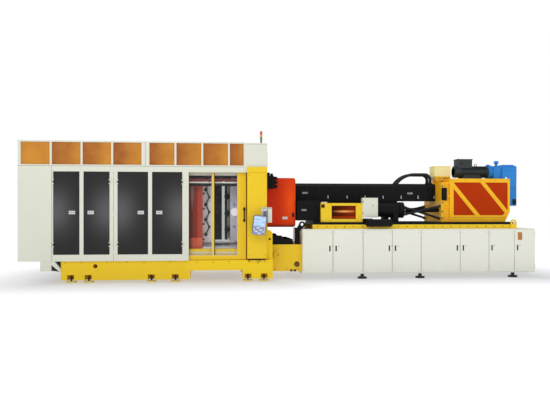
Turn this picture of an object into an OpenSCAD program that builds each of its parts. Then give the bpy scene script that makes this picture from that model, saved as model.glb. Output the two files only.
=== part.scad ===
// Two-platen injection molding machine, seen from the operator's side along +Y.
// Lengths run from the tail end of the clamp housing; heights run from the floor.

/* [Clamp housing] */
// Width of the clamp housing over its walls
housing_w = 2900; // [2600:10:3200]
// Depth of the wall frames
wall_t = 100; // [80:5:120]
// Height where the upper guard starts
upper_z = 2870; // [2800:5:2920]
// Height of the band above the doors
header_h = 135; // [110:5:160]
// Height of the band below the doors
sill_h = 160; // [120:5:200]
// Length of the blank panel at the tail
tail_panel_len = 800; // [700:10:900]
// Width of the first post, beside the blank panel
first_post_w = 35; // [30:5:60]
// Width of each leaf of the tail door pair
tail_leaf_w = 625; // [580:5:660]
// Width of each leaf of the platen door pair
platen_leaf_w = 740; // [700:5:780]
// Width of the post between two leaves of a pair
pair_post_w = 95; // [80:5:120]
// Width of the post between the two door pairs
module_post_w = 190; // [160:5:220]
// Width of the last post, beside the gate opening
last_post_w = 155; // [130:5:180]
// Thickness of a door leaf
leaf_t = 40; // [30:2:50]
// Gap round a door leaf
leaf_gap = 6; // [5:1:10]
// Distance of a door's hinges from its ends
hinge_in = 250; // [220:5:280]
// Distance of a door's latch from its free edge
latch_in = 170; // [150:5:190]
// Width of a door's latch
latch_w = 140; // [120:5:160]
// Height of a door's latch
latch_h = 70; // [60:2:80]
// Depth of a door's latch
latch_t = 14; // [10:1:18]

/* [Upper guard] */
// Height of the band under the tinted windows
upper_sill_h = 35; // [30:1:60]
// Height of the band over the tinted windows
upper_head_h = 38; // [30:1:60]
// Width of a full tinted window beside the gate
upper_right_w = 612; // [600:2:624]
// Width of the bar between two tinted windows
upper_bar_w = 48; // [40:2:60]
// Width of the doubled post at the joint of the two upper frames
upper_joint_w = 190; // [150:5:220]
// Distance from the tail to the joint of the two upper frames
upper_joint_x = 2950; // [2850:10:3050]
// Width of the edge bar at each end of the upper guard
upper_edge_w = 70; // [60:5:90]
// Thickness of a tinted pane
pane_t = 8; // [6:1:12]
// Depth of a tinted pane behind its frame's face
pane_inset = 30; // [20:2:40]
// Thickness of the tail's end wall
end_wall_t = 60; // [50:5:80]
// Gap between the platens and the cross ties over them
roof_gap = 50; // [40:5:80]
// Drop of the cross ties below the upper guard's top
roof_drop = 10; // [5:1:20]
// Size of a square cross tie
tie_w = 100; // [80:5:120]

/* [Gate] */
// Length of the gate opening, from the last post to the column
gate_opening = 1450; // [1350:10:1550]
// How far the closed gate laps behind the last post
gate_lap = 100; // [80:5:120]
// Gap between the gate and the column
gate_gap = 25; // [15:1:40]
// Thickness of the gate
gate_t = 60; // [50:2:70]
// Running gap between the gate and the wall
gate_run = 15; // [10:1:20]
// Height of the gate's bottom bar
gate_bottom_h = 105; // [90:5:130]
// Height of the gate's top bar
gate_top_h = 45; // [30:5:60]
// Width of the gate's middle bar
gate_mullion_w = 46; // [40:2:60]
// Width of the gate's handle stile
gate_stile_w = 206; // [180:2:230]
// Width of the gate's hidden stile
gate_back_stile_w = 90; // [70:5:100]
// Height of the gate handle above the floor
gate_handle_z = 1680; // [1500:10:1800]
// Length of the gate handle
gate_handle_len = 310; // [250:5:360]
// Radius of the gate handle's bar
handle_r = 14; // [12:1:18]
// Reach of the gate handle from the gate
handle_reach = 40; // [35:1:50]
// Size of the gate handle's end blocks
handle_block = 30; // [24:2:36]
// Distance of the gate handle from the gate's edge
handle_in = 45; // [40:1:60]
// Width of the gate's hanging hooks
hook_w = 100; // [80:5:120]
// Thickness of the track bar that the gate hangs on
track_h = 30; // [24:2:40]
// Travel of the gate
gate_travel = 1340; // [1200:10:1350]

/* [Bed] */
// Height of the bed's top face
bed_top = 540; // [500:10:580]
// Width of the bed
bed_w = 2800; // [2600:10:2880]
// Width of each side beam of the bed
bed_beam_w = 600; // [520:10:640]
// Distance from the tail to the bed
bed_x0 = 1005; // [950:5:1050]
// Length of the deep block under the platen
bed_deep_len = 3123; // [3000:1:3200]
// Length of the shallow bridge under the mould
bed_bridge_len = 1322; // [1250:1:1350]
// Length of the leg under the fixed platen
bed_leg_len = 750; // [720:5:800]
// Height of the deep block's underside
bed_deep_z = 70; // [60:2:90]
// Height of the bridge's underside
bed_bridge_z = 290; // [250:5:320]
// Height of the slideway strips
slideway_h = 30; // [20:2:40]
// Width of a slideway strip
slideway_w = 200; // [160:5:240]
// Diameter of the round holes through the beams
bed_hole_d = 110; // [90:5:130]
// Distance of the round hole from the bed's end
bed_hole_in = 820; // [780:10:860]
// Height of the round hole in the bed
bed_hole_z = 413; // [390:1:430]
// Length of a cross box between the bed's beams
cross_box_len = 500; // [450:10:550]
// Width of a foot pocket
pocket_w = 170; // [150:5:190]
// Height of a foot pocket
pocket_h = 130; // [110:5:150]
// Depth of a foot pocket
pocket_d = 180; // [150:5:210]
// Start of the tail bracket's leg from the tail
bracket_x0 = 525; // [500:5:550]
// Width of the tail bracket's leg
bracket_w = 260; // [240:5:280]
// Height of the tail bracket's foot
bracket_z0 = 300; // [280:5:320]
// Reach of the tail bracket's gusset under the panel
gusset_reach = 80; // [70:5:90]
// Height where the tail bracket's gusset meets the bed
gusset_z = 270; // [250:5:290]
// Depth of the tail bracket's gusset
gusset_t = 80; // [70:2:90]
// Depth of the tail bracket in the bed's end
bracket_d = 100; // [80:5:120]
// Length of the upright at the bed's end
upright_len = 140; // [120:5:145]
// Height of the upright at the bed's end
upright_h = 750; // [700:10:780]
// Thickness of the upright at the bed's end
upright_t = 120; // [100:5:140]
// Corner radius of the upright at the bed's end
upright_r = 110; // [90:5:120]
// Drop of the bolt hole below the upright's top
upright_hole_drop = 230; // [210:5:250]
// Diameter of the bolt hole in the upright
upright_hole_d = 60; // [50:2:70]
// Width of a levelling foot's plate
foot_w = 220; // [200:5:240]
// First foot's distance from the bed's end
foot_1_in = 230; // [210:5:250]
// Second foot's distance from the bed's end
foot_2_in = 650; // [620:5:680]
// Third foot's distance from the deep block's end
foot_3_in = 950; // [920:5:980]
// Fourth foot's distance from the deep block's end
foot_4_in = 360; // [330:5:390]
// Fifth foot's distance from the leg's start
foot_5_in = 125; // [110:5:140]
// Sixth foot's distance from the leg's end
foot_6_in = 220; // [200:5:240]
// Thickness of a levelling foot's plate
foot_t = 44.7; // [40:0.1:50]
// Diameter of a levelling screw
foot_screw_d = 45; // [36:1:50]
// Width over the corners of a levelling nut
foot_nut_d = 78; // [70:2:90]
// Height of a levelling nut
foot_nut_h = 36; // [30:1:40]

/* [Platens] */
// Height of the injection axis
axis_z = 2290; // [2250:5:2330]
// Width of a platen
platen_w = 2000; // [1900:10:2080]
// Gap between a platen and the slideways
platen_lift = 35; // [25:5:45]
// Depth of a platen below its lower tie bars
platen_skirt = 180; // [165:5:200]
// Rim of a platen above its upper tie bars
platen_rim = 190; // [160:5:200]
// Depth of the shallow pocket in a platen's side
platen_pocket_d = 40; // [30:2:50]
// Rim round a platen's side pocket
platen_pocket_rim = 130; // [110:5:160]
// Diameter of a tie-bar lock on the moving platen
lock_d = 370; // [340:5:380]
// Length of a tie-bar lock
lock_len = 340; // [300:10:360]
// Width of a fixed platen foot
platen_foot_w = 300; // [260:10:340]
// Inset of a fixed platen foot
platen_foot_in = 60; // [50:2:80]
// Distance from the tail to the fixed platen's mould face
fixed_face_x = 5350; // [5320:5:5380]
// Thickness of the fixed platen
fixed_platen_t = 740; // [700:5:780]
// Thickness of the moving platen
moving_platen_t = 620; // [560:5:680]
// Diameter of a tie bar
tie_bar_d = 230; // [200:5:250]
// Distance between tie bars across the machine
tie_bar_span_y = 1560; // [1500:10:1600]
// Height of the upper tie bars over the injection axis
tie_bar_rise = 850; // [810:10:870]
// Distance from the tail to the tie bars' free ends
tie_bar_x0 = 260; // [200:10:320]
// Running clearance of the tie bars in the moving platen
tie_bar_run = 1; // [0.5:0.5:2]
// Width of the mould
mould_w = 1300; // [1100:10:1310]
// Height of the mould's underside
mould_z0 = 980; // [950:5:1020]
// Height of the mould's top face
mould_z1 = 2930; // [2860:10:2990]
// Inset of a mould's neck between its plates
mould_neck = 80; // [60:5:100]
// Length of a mould's neck between its plates
mould_neck_len = 40; // [30:2:50]
// Thickness of the moving half's spacer block
spacer_t = 240; // [220:5:260]
// Thickness of the fixed half's cavity plate
cavity_t = 90; // [80:2:100]
// Radius of a side hole in the mould
mould_hole_r = 36; // [30:1:40]
// Spacing of the mould's side holes
mould_hole_step = 195; // [180:5:210]
// Depth of the mould's side holes
mould_hole_d = 90; // [70:5:110]
// Thickness of the fixed mould half
fixed_mould_t = 350; // [300:5:380]
// Thickness of the moving mould half
moving_mould_t = 500; // [450:5:540]
// Opening between the mould halves at rest
mould_gap = 80; // [60:5:100]

/* [Column and panel] */
// Width of the operator column
column_w = 490; // [460:5:520]
// Depth of the operator column
column_d = 350; // [320:5:380]
// How far the column stands out from the wall
column_proud = 50; // [40:5:70]
// Height of the column's plinth
plinth_h = 43; // [30:1:60]
// Height of the column's cap
cap_h = 137; // [120:1:150]
// Lip of the column's cap
cap_lip = 10; // [6:1:14]
// Drop of the white box's top below the upper guard's top
top_box_drop = 20; // [10:1:30]
// Diameter of the signal lamp
lamp_d = 60; // [50:2:70]
// Height of one lens of the signal lamp
lens_h = 70; // [60:2:80]
// Width of the control panel
panel_w = 330; // [300:5:360]
// Height of the control panel
panel_h = 480; // [440:5:520]
// Depth of the control panel
panel_d = 110; // [90:5:130]
// Roll of the control panel as it hangs
panel_roll = 6; // [0:1:8]
// Depth of the panel's arm box
arm_d = 80; // [60:5:100]
// Height of the panel's arm box above the floor
arm_z0 = 1480; // [1440:10:1520]
// Height of the panel's arm box
arm_h = 380; // [340:10:420]
// Width of the panel's arm box
arm_w = 270; // [250:5:290]
// Thickness of a swivel lug
swivel_lug_t = 40; // [30:2:50]
// Gap over and under the swivel sleeve
swivel_gap = 5; // [5:1:8]
// Length of the swivel sleeve
sleeve_len = 190; // [170:5:210]
// Height of the control panel's middle
panel_z = 1420; // [1380:10:1460]
// Diameter of the panel's swivel pin
swivel_d = 50; // [40:2:60]

/* [Nozzle guard and link] */
// Height of the valve block on the fixed platen
valve_z = 2360; // [2340:10:2400]
// Height of the valve block
valve_h = 330; // [300:5:360]
// Length of the valve block
valve_len = 170; // [150:5:190]
// Radius of a valve's coil
coil_r = 48; // [40:1:52]
// Length of a valve's coil
coil_len = 90; // [70:5:100]
// Spacing of the valves' coils
coil_step = 105; // [98:1:110]
// Length of the nozzle guard
guard_len = 780; // [740:5:800]
// Width of the nozzle guard
guard_w = 1200; // [1100:10:1300]
// Height of the nozzle guard's underside
guard_z0 = 1350; // [1300:10:1400]
// Height of the nozzle guard's top
guard_z1 = 2650; // [2600:10:2700]
// Corner radius of the nozzle guard
guard_r = 70; // [50:5:90]
// Sheet thickness of the nozzle guard
guard_t = 12; // [8:1:16]
// Width of the link frame
link_w = 1800; // [1700:10:1900]
// Height of the link frame's top
link_z1 = 900; // [860:10:940]
// Thickness of a link frame plate
link_t = 60; // [50:2:80]
// Thickness of the link frame's deck
deck_t = 40; // [30:2:50]
// Sheet thickness of the purge tray
tray_t = 15; // [10:1:20]
// Height of the purge tray's high side
tray_h = 235; // [215:5:250]
// Height of the purge tray's low side
tray_low_h = 136; // [120:2:150]
// Length of the purge tray
tray_len = 570; // [540:5:590]
// Height of the link frame's underside
link_z0 = 205; // [180:5:230]
// Radius of the round hole in a link frame plate
link_hole_r = 45; // [40:1:50]
// Distance of the round hole from the base
link_hole_in = 130; // [110:5:150]
// Height of the round hole over the underside
link_hole_h = 180; // [160:5:200]
// Distance of the ring lug from the bed
link_lug_in = 150; // [130:5:170]
// Height of the ring lug over the link frame's underside
link_lug_h = 435; // [410:5:460]
// Size of a link frame cross bar
link_bar = 120; // [100:5:140]
// Width of the post beside the purge tray
post_w = 130; // [110:5:150]

/* [Injection base] */
// Distance from the tail to the injection base
base_x0 = 7000; // [6960:10:7040]
// Width of the injection base over its posts
base_w = 2000; // [1900:10:2080]
// Height of the base's underside
base_z0 = 130; // [110:5:150]
// Height of the base's top
base_z1 = 1300; // [1260:10:1340]
// Thickness of the base's top and bottom plates
base_plate_t = 50; // [40:2:60]
// Width of a base post
base_post_w = 60; // [50:2:80]
// Depth of a base post
base_post_d = 60; // [50:2:80]
// Thickness of the base's end and rear walls
base_wall_t = 40; // [30:2:50]
// Length of the first bay of the base
bay_1_len = 1600; // [1500:10:1700]
// Length of the second bay of the base
bay_2_len = 1560; // [1500:10:1620]
// Length of the third bay of the base
bay_3_len = 1850; // [1780:10:1900]
// Width of the third bay's wide leaf
bay_3_wide_leaf = 1060; // [1000:10:1100]
// Length of the fourth bay of the base
bay_4_len = 710; // [660:10:760]
// Length of the fifth bay of the base
bay_5_len = 580; // [540:10:620]
// Thickness of a base door
base_door_t = 30; // [24:2:40]
// How far the base doors lap over the base's plates
base_door_lap = 15; // [10:1:30]
// Distance of a base door's hinges from its ends
base_hinge_in = 120; // [100:5:150]
// Width of the ribs in the gaps between base doors
base_rib_w = 10; // [8:1:12]
// Length of a base door's pull
pull_len = 150; // [130:5:170]
// Width of a base door's pull
pull_w = 40; // [30:2:50]
// Depth of a base door's pull
pull_t = 9; // [6:1:9]
// Height of a base door's pull
pull_z = 720; // [680:10:760]
// Gap between base doors
base_door_gap = 24; // [20:1:30]
// Diameter of a levelling pad
pad_d = 240; // [220:5:260]
// Height of the slide rails on the base
rail_h = 115; // [100:5:130]
// Width of a slide rail
rail_w = 200; // [180:5:220]
// Distance between the slide rails' outer faces
rail_span = 1800; // [1760:10:1840]
// Inset of the slide rails from the base's end
rail_inset = 300; // [280:5:320]
// Length of the slide rails
rail_len = 5500; // [5400:10:5600]
// Distance from a lifting lug to the rail's end
lug_in = 60; // [40:5:100]
// Outer radius of a lifting lug
lug_r = 80; // [70:2:90]
// Radius of a lifting lug's bore
lug_bore_r = 45; // [35:1:50]
// Thickness of a lifting lug
lug_t = 40; // [30:2:50]
// Height of a lifting lug's bore over the base
lug_h = 168; // [150:2:190]
// Gap between a lifting lug and its rail
lug_gap = 12; // [10:1:20]

/* [Injection unit] */
// Height and width of the barrel cover
cover_w = 480; // [440:5:500]
// Distance from the nozzle guard to the barrel cover
cover_gap = 30; // [20:5:40]
// Length of the barrel cover
cover_len = 3930; // [3860:10:4000]
// Length of the apron that carries the barrel's front
apron_len = 613; // [560:1:660]
// Width of the apron
apron_w = 1380; // [1340:10:1390]
// Height of the apron over the runners
apron_lift = 40; // [30:2:50]
// Chamfer of the barrel cover's top edges
cover_chamfer = 70; // [50:5:75]
// Outer radius of the barrel
barrel_r = 170; // [150:5:190]
// Outer diameter of an injection cylinder
cylinder_d = 430; // [400:5:440]
// Height of the injection cylinders' axes
cylinder_z = 1800; // [1780:5:1820]
// Distance of the injection cylinders' axes from the machine axis
cylinder_y = 480; // [450:5:520]
// Radius of an injection cylinder's rod
rod_r = 60; // [50:2:70]
// Diameter of an injection cylinder's tube between its heads
tube_d = 370; // [340:5:390]
// Length of an injection cylinder's head
head_len = 130; // [110:5:150]
// Distance of the saddles from the injection cylinders' ends
saddle_in = 300; // [280:5:320]
// Length of a saddle
saddle_len = 140; // [120:5:160]
// Radius of a carriage cylinder
shift_r = 100; // [90:2:100]
// Length of a carriage cylinder
shift_len = 640; // [600:10:680]
// Distance of a carriage cylinder from the cylinder guard
shift_gap = 90; // [70:5:110]
// Gap between a carriage cylinder and its runner
shift_run = 8; // [6:1:12]
// Length of an injection cylinder
cylinder_len = 2310; // [2200:10:2400]
// Thickness of the carriage runners
runner_h = 65; // [55:1:80]
// Length of the cylinder guard box
cyl_guard_len = 1110; // [1050:10:1160]
// Height of the cylinder guard box
cyl_guard_h = 500; // [460:10:520]
// Front of the cylinder guard box from the machine axis
cyl_guard_y = 850; // [820:10:880]
// Distance of the cylinder guard from the base
cyl_guard_in = 516; // [500:1:530]
// Frame before the cylinder guard's window
cyl_frame_0 = 290; // [270:5:310]
// Frame behind the cylinder guard's window
cyl_frame_1 = 190; // [170:5:210]
// Frame under the cylinder guard's window
cyl_sill = 90; // [70:5:110]
// Height of the cylinder guard's window
cyl_window_h = 330; // [300:5:350]
// Length of the junction box
junction_len = 415; // [400:5:430]
// Depth of the junction box
junction_d = 150; // [130:5:170]
// Height of the junction box
junction_h = 521; // [500:1:540]
// Height of the junction box over the runners
junction_lift = 120.7; // [110:0.1:130]
// Length of the feed casting
feed_len = 235; // [220:5:250]
// How far the barrel reaches into the drive
barrel_seat_len = 100; // [60:5:140]
// Thickness of the feed casting's end plate
feed_plate_t = 60; // [50:2:70]
// Width of the feed casting's core
feed_core_w = 1300; // [1200:10:1340]
// Thickness of the feed casting's ribs
feed_rib_t = 40; // [30:2:50]
// Radius of the feed throat
throat_r = 45; // [40:1:50]
// Width of the feed casting
feed_w = 1380; // [1340:5:1390]
// Width of the hopper's mouth
hopper_w = 400; // [360:10:440]
// Length of the hopper
hopper_len = 460; // [440:5:480]
// Distance of the hopper's foot from the cover
hopper_foot_in = 95; // [80:5:100]
// Gap between the hopper's foot and the drive guard
hopper_gap = 20; // [15:1:30]
// Half the width of the hopper's foot
hopper_foot_w = 130; // [110:5:150]
// Gap between the hopper's box and the drive guard
hopper_lift = 30; // [20:2:40]
// Height of the funnel's top over the drive guard
funnel_lift = 85; // [80:1:95]
// How far the hopper's mouth laps over the drive
hopper_lap = 215; // [190:5:240]
// Sheet thickness of the hopper
hopper_t = 10; // [6:1:14]
// Height of the hopper's mouth
hopper_top = 3030; // [2990:5:3070]
// Length of the drive guard
drive_len = 1690; // [1640:10:1740]
// Width of the drive guard
drive_w = 1400; // [1320:10:1480]
// Height of the drive guard's top
drive_z1 = 2655; // [2620:5:2690]
// Chamfer of the drive guard
drive_chamfer = 140; // [100:5:180]
// Width of the bars round the drive guard's windows
drive_bar_w = 105; // [90:5:120]
// Distance of the first slanted bar from the guard's end
slant_1_in = 60; // [40:5:80]
// Distance between the two slanted bars
slant_step = 890; // [860:10:920]
// Slope of the slanted bars
slant_angle = 50; // [46:1:54]
// Diameter of the screw motor
motor_d = 330; // [300:5:350]
// Number of the screw motor's fins
fin_n = 26; // [20:2:32]
// Depth of the screw motor's fins
fin_h = 16; // [10:1:20]
// Length of the terminal box on the screw motor
terminal_len = 430; // [400:10:460]
// Height of the terminal box over the screw motor
terminal_h = 190; // [170:5:210]
// Length of the screw motor
motor_len = 960; // [900:10:1000]
// Distance of the motor from the drive guard's end
motor_in = 380; // [360:5:420]
// Height of the motor's feet
motor_foot_h = 60; // [50:2:70]
// Length of the motor's fan cover
fan_len = 170; // [150:5:190]
// Length of the motor's end shield
shield_len = 60; // [50:2:70]
// Width of the gearbox's case
gearbox_w = 520; // [480:10:560]
// Corner radius of the gearbox's case
gearbox_r = 50; // [40:5:60]
// Overlap of the gearbox's case over the drive guard
gearbox_lap = 230; // [200:10:260]
// Length of the blue gearbox
gearbox_len = 440; // [400:5:460]
// Height of the blue gearbox's top
gearbox_z1 = 3050; // [3020:5:3090]
// Height of the blue gearbox's underside
gearbox_z0 = 1920; // [1880:5:1960]
// Step between the gearbox's two cases
gearbox_step = 50; // [40:2:60]
// Radius of the gearbox's end covers
end_cover_r = 140; // [120:5:160]
// Radius of the gearbox's breather
breather_r = 62; // [54:2:70]
// Radius of an arched hose
hose_r = 32; // [26:1:36]
// Radius of a slanted hose
small_hose_r = 22; // [16:1:24]
// Rise of the arched hoses over the barrel cover
arch_rise = 260; // [240:5:280]
// Length from the arch's foot to its level part
arch_run = 510; // [480:5:530]
// Length of the arch's level part
arch_level = 300; // [260:5:320]
// Bend radius at the arch's drop
drop_r = 150; // [130:5:170]
// Distance from the arch's drop to the feed casting
drop_gap = 114; // [100:2:130]
// Travel of the injection carriage
carriage_travel = 450; // [400:10:460]

/* [Hinges] */
// Radius of a door hinge knuckle
knuckle_r = 12; // [10:1:14]
// Radius of a door hinge pin
hinge_pin_r = 7; // [5:1:8]
// Clearance of a hinge pin in its knuckle
pin_run = 0.3; // [0.2:0.1:0.5]
// Length of one hinge knuckle
knuckle_len = 60; // [50:2:80]
// Seat clearance between pieces that touch
seat = 0.3; // [0.2:0.1:0.5]

/* [Hidden] */
$fn = 48;

base_len = bay_1_len + bay_2_len + bay_3_len + bay_4_len + bay_5_len;
total_len = base_x0 + base_len;

slide_z = bed_top + slideway_h;
platen_z0 = slide_z + platen_lift;
platen_z1 = axis_z + tie_bar_rise + platen_rim;
housing_top = platen_z1 + roof_gap + tie_w + roof_drop;
upper_window_h = housing_top - upper_z - upper_sill_h - upper_head_h;
top_box_h = housing_top - upper_z - top_box_drop;

wall_y = housing_w / 2;
inner_y = wall_y - wall_t;
door_z0 = bed_top + sill_h;
door_z1 = upper_z - header_h;
hinge_y = -wall_y - knuckle_r - seat;
leaf_x = [
  tail_panel_len + first_post_w,
  tail_panel_len + first_post_w + tail_leaf_w + pair_post_w,
  tail_panel_len + first_post_w + 2 * tail_leaf_w + pair_post_w + module_post_w,
  tail_panel_len + first_post_w + 2 * tail_leaf_w + 2 * pair_post_w + module_post_w + platen_leaf_w
];
leaf_w = [tail_leaf_w, tail_leaf_w, platen_leaf_w, platen_leaf_w];
wall_end = leaf_x[3] + platen_leaf_w + last_post_w;
column_x0 = wall_end + gate_opening;
column_x1 = column_x0 + column_w;
column_y = wall_y + column_proud;

gate_x0 = wall_end - gate_lap;
gate_x1 = column_x0 - gate_gap;
gate_y = inner_y - gate_run;
gate_z0 = bed_top + 8;
gate_z1 = door_z1 + gate_top_h;
track_z = gate_z1 + 20;
track_d = gate_run + gate_t - 15;

bed_x1 = bed_x0 + bed_deep_len;
bed_x2 = bed_x1 + bed_bridge_len;
bed_x3 = bed_x2 + bed_leg_len;
bed_y = bed_w / 2;
slide_y = bed_y - bed_beam_w + slideway_w / 2 + 20;
foot_x = [
  bed_x0 + foot_1_in,
  bed_x0 + foot_2_in,
  bed_x1 - foot_3_in,
  bed_x1 - foot_4_in,
  bed_x2 + foot_5_in,
  bed_x3 - foot_6_in
];

moving_mould_x1 = fixed_face_x - fixed_mould_t - mould_gap;
moving_face_x = moving_mould_x1 - moving_mould_t;
moving_platen_x0 = moving_face_x - moving_platen_t;
platen_back_x = fixed_face_x + fixed_platen_t;
tie_bar_z = [platen_z0 + platen_skirt, axis_z + tie_bar_rise];

guard_x1 = platen_back_x + guard_len;
cover_x0 = guard_x1 + cover_gap;
cover_x1 = cover_x0 + cover_len;
rail_x0 = base_x0 + rail_inset;
lug_x = rail_x0 + rail_len - lug_in;
rail_z = base_z1 + rail_h;
runner_z0 = rail_z + seat;
runner_z1 = runner_z0 + runner_h;
cyl_guard_x0 = base_x0 + cyl_guard_in;
cyl_guard_x1 = cyl_guard_x0 + cyl_guard_len;
drive_x0 = cover_x1 + feed_len;
drive_x1 = drive_x0 + drive_len;
drive_z0 = runner_z1;
apron_x1 = cover_x0 + apron_len;
apron_z0 = runner_z1 + apron_lift;
runner_x0 = rail_x0 + 30;
cylinder_x1 = apron_x1 + cylinder_len;
cover_top = axis_z + cover_w / 2;
feed_z1 = cover_top + 20;
arch_x = cover_x1 - drop_gap - drop_r - arch_level;
arch_r = (pow(arch_run, 2) + pow(arch_rise, 2)) / (2 * arch_rise);
motor_z = drive_z1 + motor_foot_h + motor_d / 2;
motor_x0 = drive_x0 + motor_in;
motor_x1 = motor_x0 + motor_len;

panel_y1 = column_y + arm_d + 20 + swivel_d / 2;
panel_front = panel_y1 + 35 + panel_d;
pin_x = column_x1 - 55;
panel_x1 = pin_x + 15;
sleeve_z = arm_z0 + arm_h / 2 - sleeve_len / 2;
swivel_z = sleeve_z - swivel_gap - swivel_lug_t;
axis_y = (panel_front - column_y - cap_lip) / 2;

base_y = base_w / 2;
base_door_z0 = base_z0 + base_plate_t - base_door_lap;
base_door_z1 = base_z1 - base_plate_t + base_door_lap;
base_hinge_z = [base_door_z0 + base_hinge_in, base_door_z1 - base_hinge_in];
bay_x = [
  base_x0,
  base_x0 + bay_1_len,
  base_x0 + bay_1_len + bay_2_len,
  base_x0 + bay_1_len + bay_2_len + bay_3_len,
  base_x0 + bay_1_len + bay_2_len + bay_3_len + bay_4_len,
  total_len
];
base_door_x = [
  bay_x[0],
  bay_x[0] + bay_1_len / 2,
  bay_x[1],
  bay_x[1] + bay_2_len / 2,
  bay_x[2],
  bay_x[2] + bay_3_wide_leaf,
  bay_x[3],
  bay_x[4],
  bay_x[5]
];
base_door_right = [false, true, false, true, false, true, true, true];

end_window_n = 3;
upper_left_n = 4;
upper_right_n = 4;
upper_left_w = (upper_joint_x - upper_edge_w - (upper_left_n - 1) * upper_bar_w) / upper_left_n;
upper_right_x = upper_joint_x + upper_joint_w;
upper_x1 = column_x0 - 70;

white = [0.90, 0.90, 0.85];
yellow = [0.94, 0.72, 0.10];
black = [0.10, 0.10, 0.11];
amber = [0.85, 0.50, 0.12, 0.8];
rust = [0.72, 0.22, 0.05, 0.9];
red = [0.90, 0.28, 0.08];
steel = [0.62, 0.63, 0.66];
blue = [0.05, 0.35, 0.75];
clear = [0.8, 0.9, 0.95, 0.3];

// Moves tail-end coordinates to the part's own frame.
module place() translate([-total_len / 2, axis_y, 0]) children();

// A box between two corners.
module block(low, high) translate(low) cube(high - low);

// Repeats a shape on the operator's side and on the rear side.
module both_sides() {
  children();
  mirror([0, 1, 0]) children();
}

// A cylinder along X from x0 to x1.
module bar_x(x0, x1, y, z, r) translate([x0, y, z]) rotate([0, 90, 0]) cylinder(h = x1 - x0, r = r);

// A side view in X and Z, extruded from y0 to y1.
module side_profile(y0, y1) translate([0, y1, 0]) rotate([90, 0, 0]) linear_extrude(y1 - y0) children();

// An end view in Y and Z, extruded from x0 to x1.
module end_profile(x0, x1) translate([x0, 0, 0]) rotate([90, 0, 90]) linear_extrude(x1 - x0) children();

// A rectangle with round corners.
module round_rect(low, high, r) {
  translate([low[0] + r, low[1]]) square([high[0] - low[0] - 2 * r, high[1] - low[1]]);
  translate([low[0], low[1] + r]) square([high[0] - low[0], high[1] - low[1] - 2 * r]);
  for (x = [low[0] + r, high[0] - r], z = [low[1] + r, high[1] - r]) translate([x, z]) circle(r);
}

// The fixed half of a door hinge: a pin between two knuckles.
// side is 1 where the frame lies at lower X than the pin, and -1 where it lies at higher X.
module hinge_pin(x, y, z, side, reach) {
  translate([x, y, z - knuckle_len]) cylinder(h = 2 * knuckle_len, r = hinge_pin_r);
  for (low = [z - knuckle_len, z + knuckle_len / 2 + 1]) translate([x, y, low]) {
    cylinder(h = knuckle_len / 2 - 1, r = knuckle_r);
    mirror([side > 0 ? 1 : 0, 0, 0]) translate([0, -knuckle_r, 0])
      cube([reach, 2 * knuckle_r + seat, knuckle_len / 2 - 1]);
  }
}

// The moving half of a door hinge: a bored knuckle with a strap on the leaf's face.
module hinge_knuckle(x, y, z, side, reach) translate([x, y, z - knuckle_len / 2]) difference() {
  union() {
    cylinder(h = knuckle_len, r = knuckle_r);
    mirror([side > 0 ? 0 : 1, 0, 0]) translate([0, -knuckle_r / 2, 0])
      cube([reach, 1.5 * knuckle_r + seat, knuckle_len]);
  }
  translate([0, 0, -1]) cylinder(h = knuckle_len + 2, r = hinge_pin_r + pin_run);
}

module bed_outline() polygon([
  [bed_x0, bed_top],
  [bed_x0, bed_deep_z],
  [bed_x1, bed_deep_z],
  [bed_x1, bed_bridge_z],
  [bed_x2, bed_bridge_z],
  [bed_x2, bed_deep_z],
  [bed_x3, bed_deep_z],
  [bed_x3, bed_top]
]);

// Welded bed: two stepped side beams, cross boxes and slideways.
module clamp_bed() color(yellow) place() {
  difference() {
    union() {
      both_sides() side_profile(-bed_y, -bed_y + bed_beam_w) bed_outline();
      for (span = [[bed_x0, bed_x0 + cross_box_len], [bed_x1 - cross_box_len, bed_x1], [bed_x2, bed_x3]])
        block(
          [span[0], -bed_y + bed_beam_w - 1, bed_bridge_z],
          [span[1], bed_y - bed_beam_w + 1, bed_top]
        );
    }
    both_sides() {
      for (x = foot_x) block(
        [x - pocket_w / 2, -bed_y - 1, bed_deep_z - 1],
        [x + pocket_w / 2, -bed_y + pocket_d, bed_deep_z + pocket_h]
      );
      translate([bed_x0 + bed_hole_in, -bed_y + bed_beam_w + 1, bed_hole_z]) rotate([90, 0, 0])
        cylinder(h = bed_beam_w + 2, d = bed_hole_d);
    }
  }
  both_sides() {
    block(
      [bed_x0 + 300, -slide_y - slideway_w / 2, bed_top],
      [fixed_face_x - 1, -slide_y + slideway_w / 2, slide_z]
    );
    side_profile(-bed_y + upright_t, -bed_y + 2 * upright_t) upright_outline();
  }
}

// Side view of the upright at the bed's end, with a round corner and a bolt hole.
module upright_outline() difference() {
  union() {
    translate([bed_x3 - upright_len, bed_top - 1]) square([upright_len - upright_r, upright_h + 1]);
    translate([bed_x3 - upright_len, bed_top - 1]) square([upright_len, upright_h - upright_r + 1]);
    translate([bed_x3 - upright_r, bed_top + upright_h - upright_r]) circle(upright_r);
  }
  translate([bed_x3 - upright_len / 2, bed_top + upright_h - upright_hole_drop]) circle(d = upright_hole_d);
  translate([bed_x3 - upright_len - 2 * upright_r, bed_top]) square([2 * upright_r, upright_h]);
}

// Levelling feet: a plate on the floor with a screw up into each pocket.
module bed_feet() color(steel) place() both_sides() for (x = foot_x)
  translate([x, -bed_y + pocket_d / 2, 0]) {
    translate([-foot_w / 2, -pocket_d / 2, 0]) cube([foot_w, pocket_d, foot_t]);
    cylinder(h = bed_deep_z + pocket_h - seat, d = foot_screw_d);
    translate([0, 0, bed_deep_z + foot_nut_h]) cylinder(h = foot_nut_h, d = foot_nut_d, $fn = 6);
  }

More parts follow.
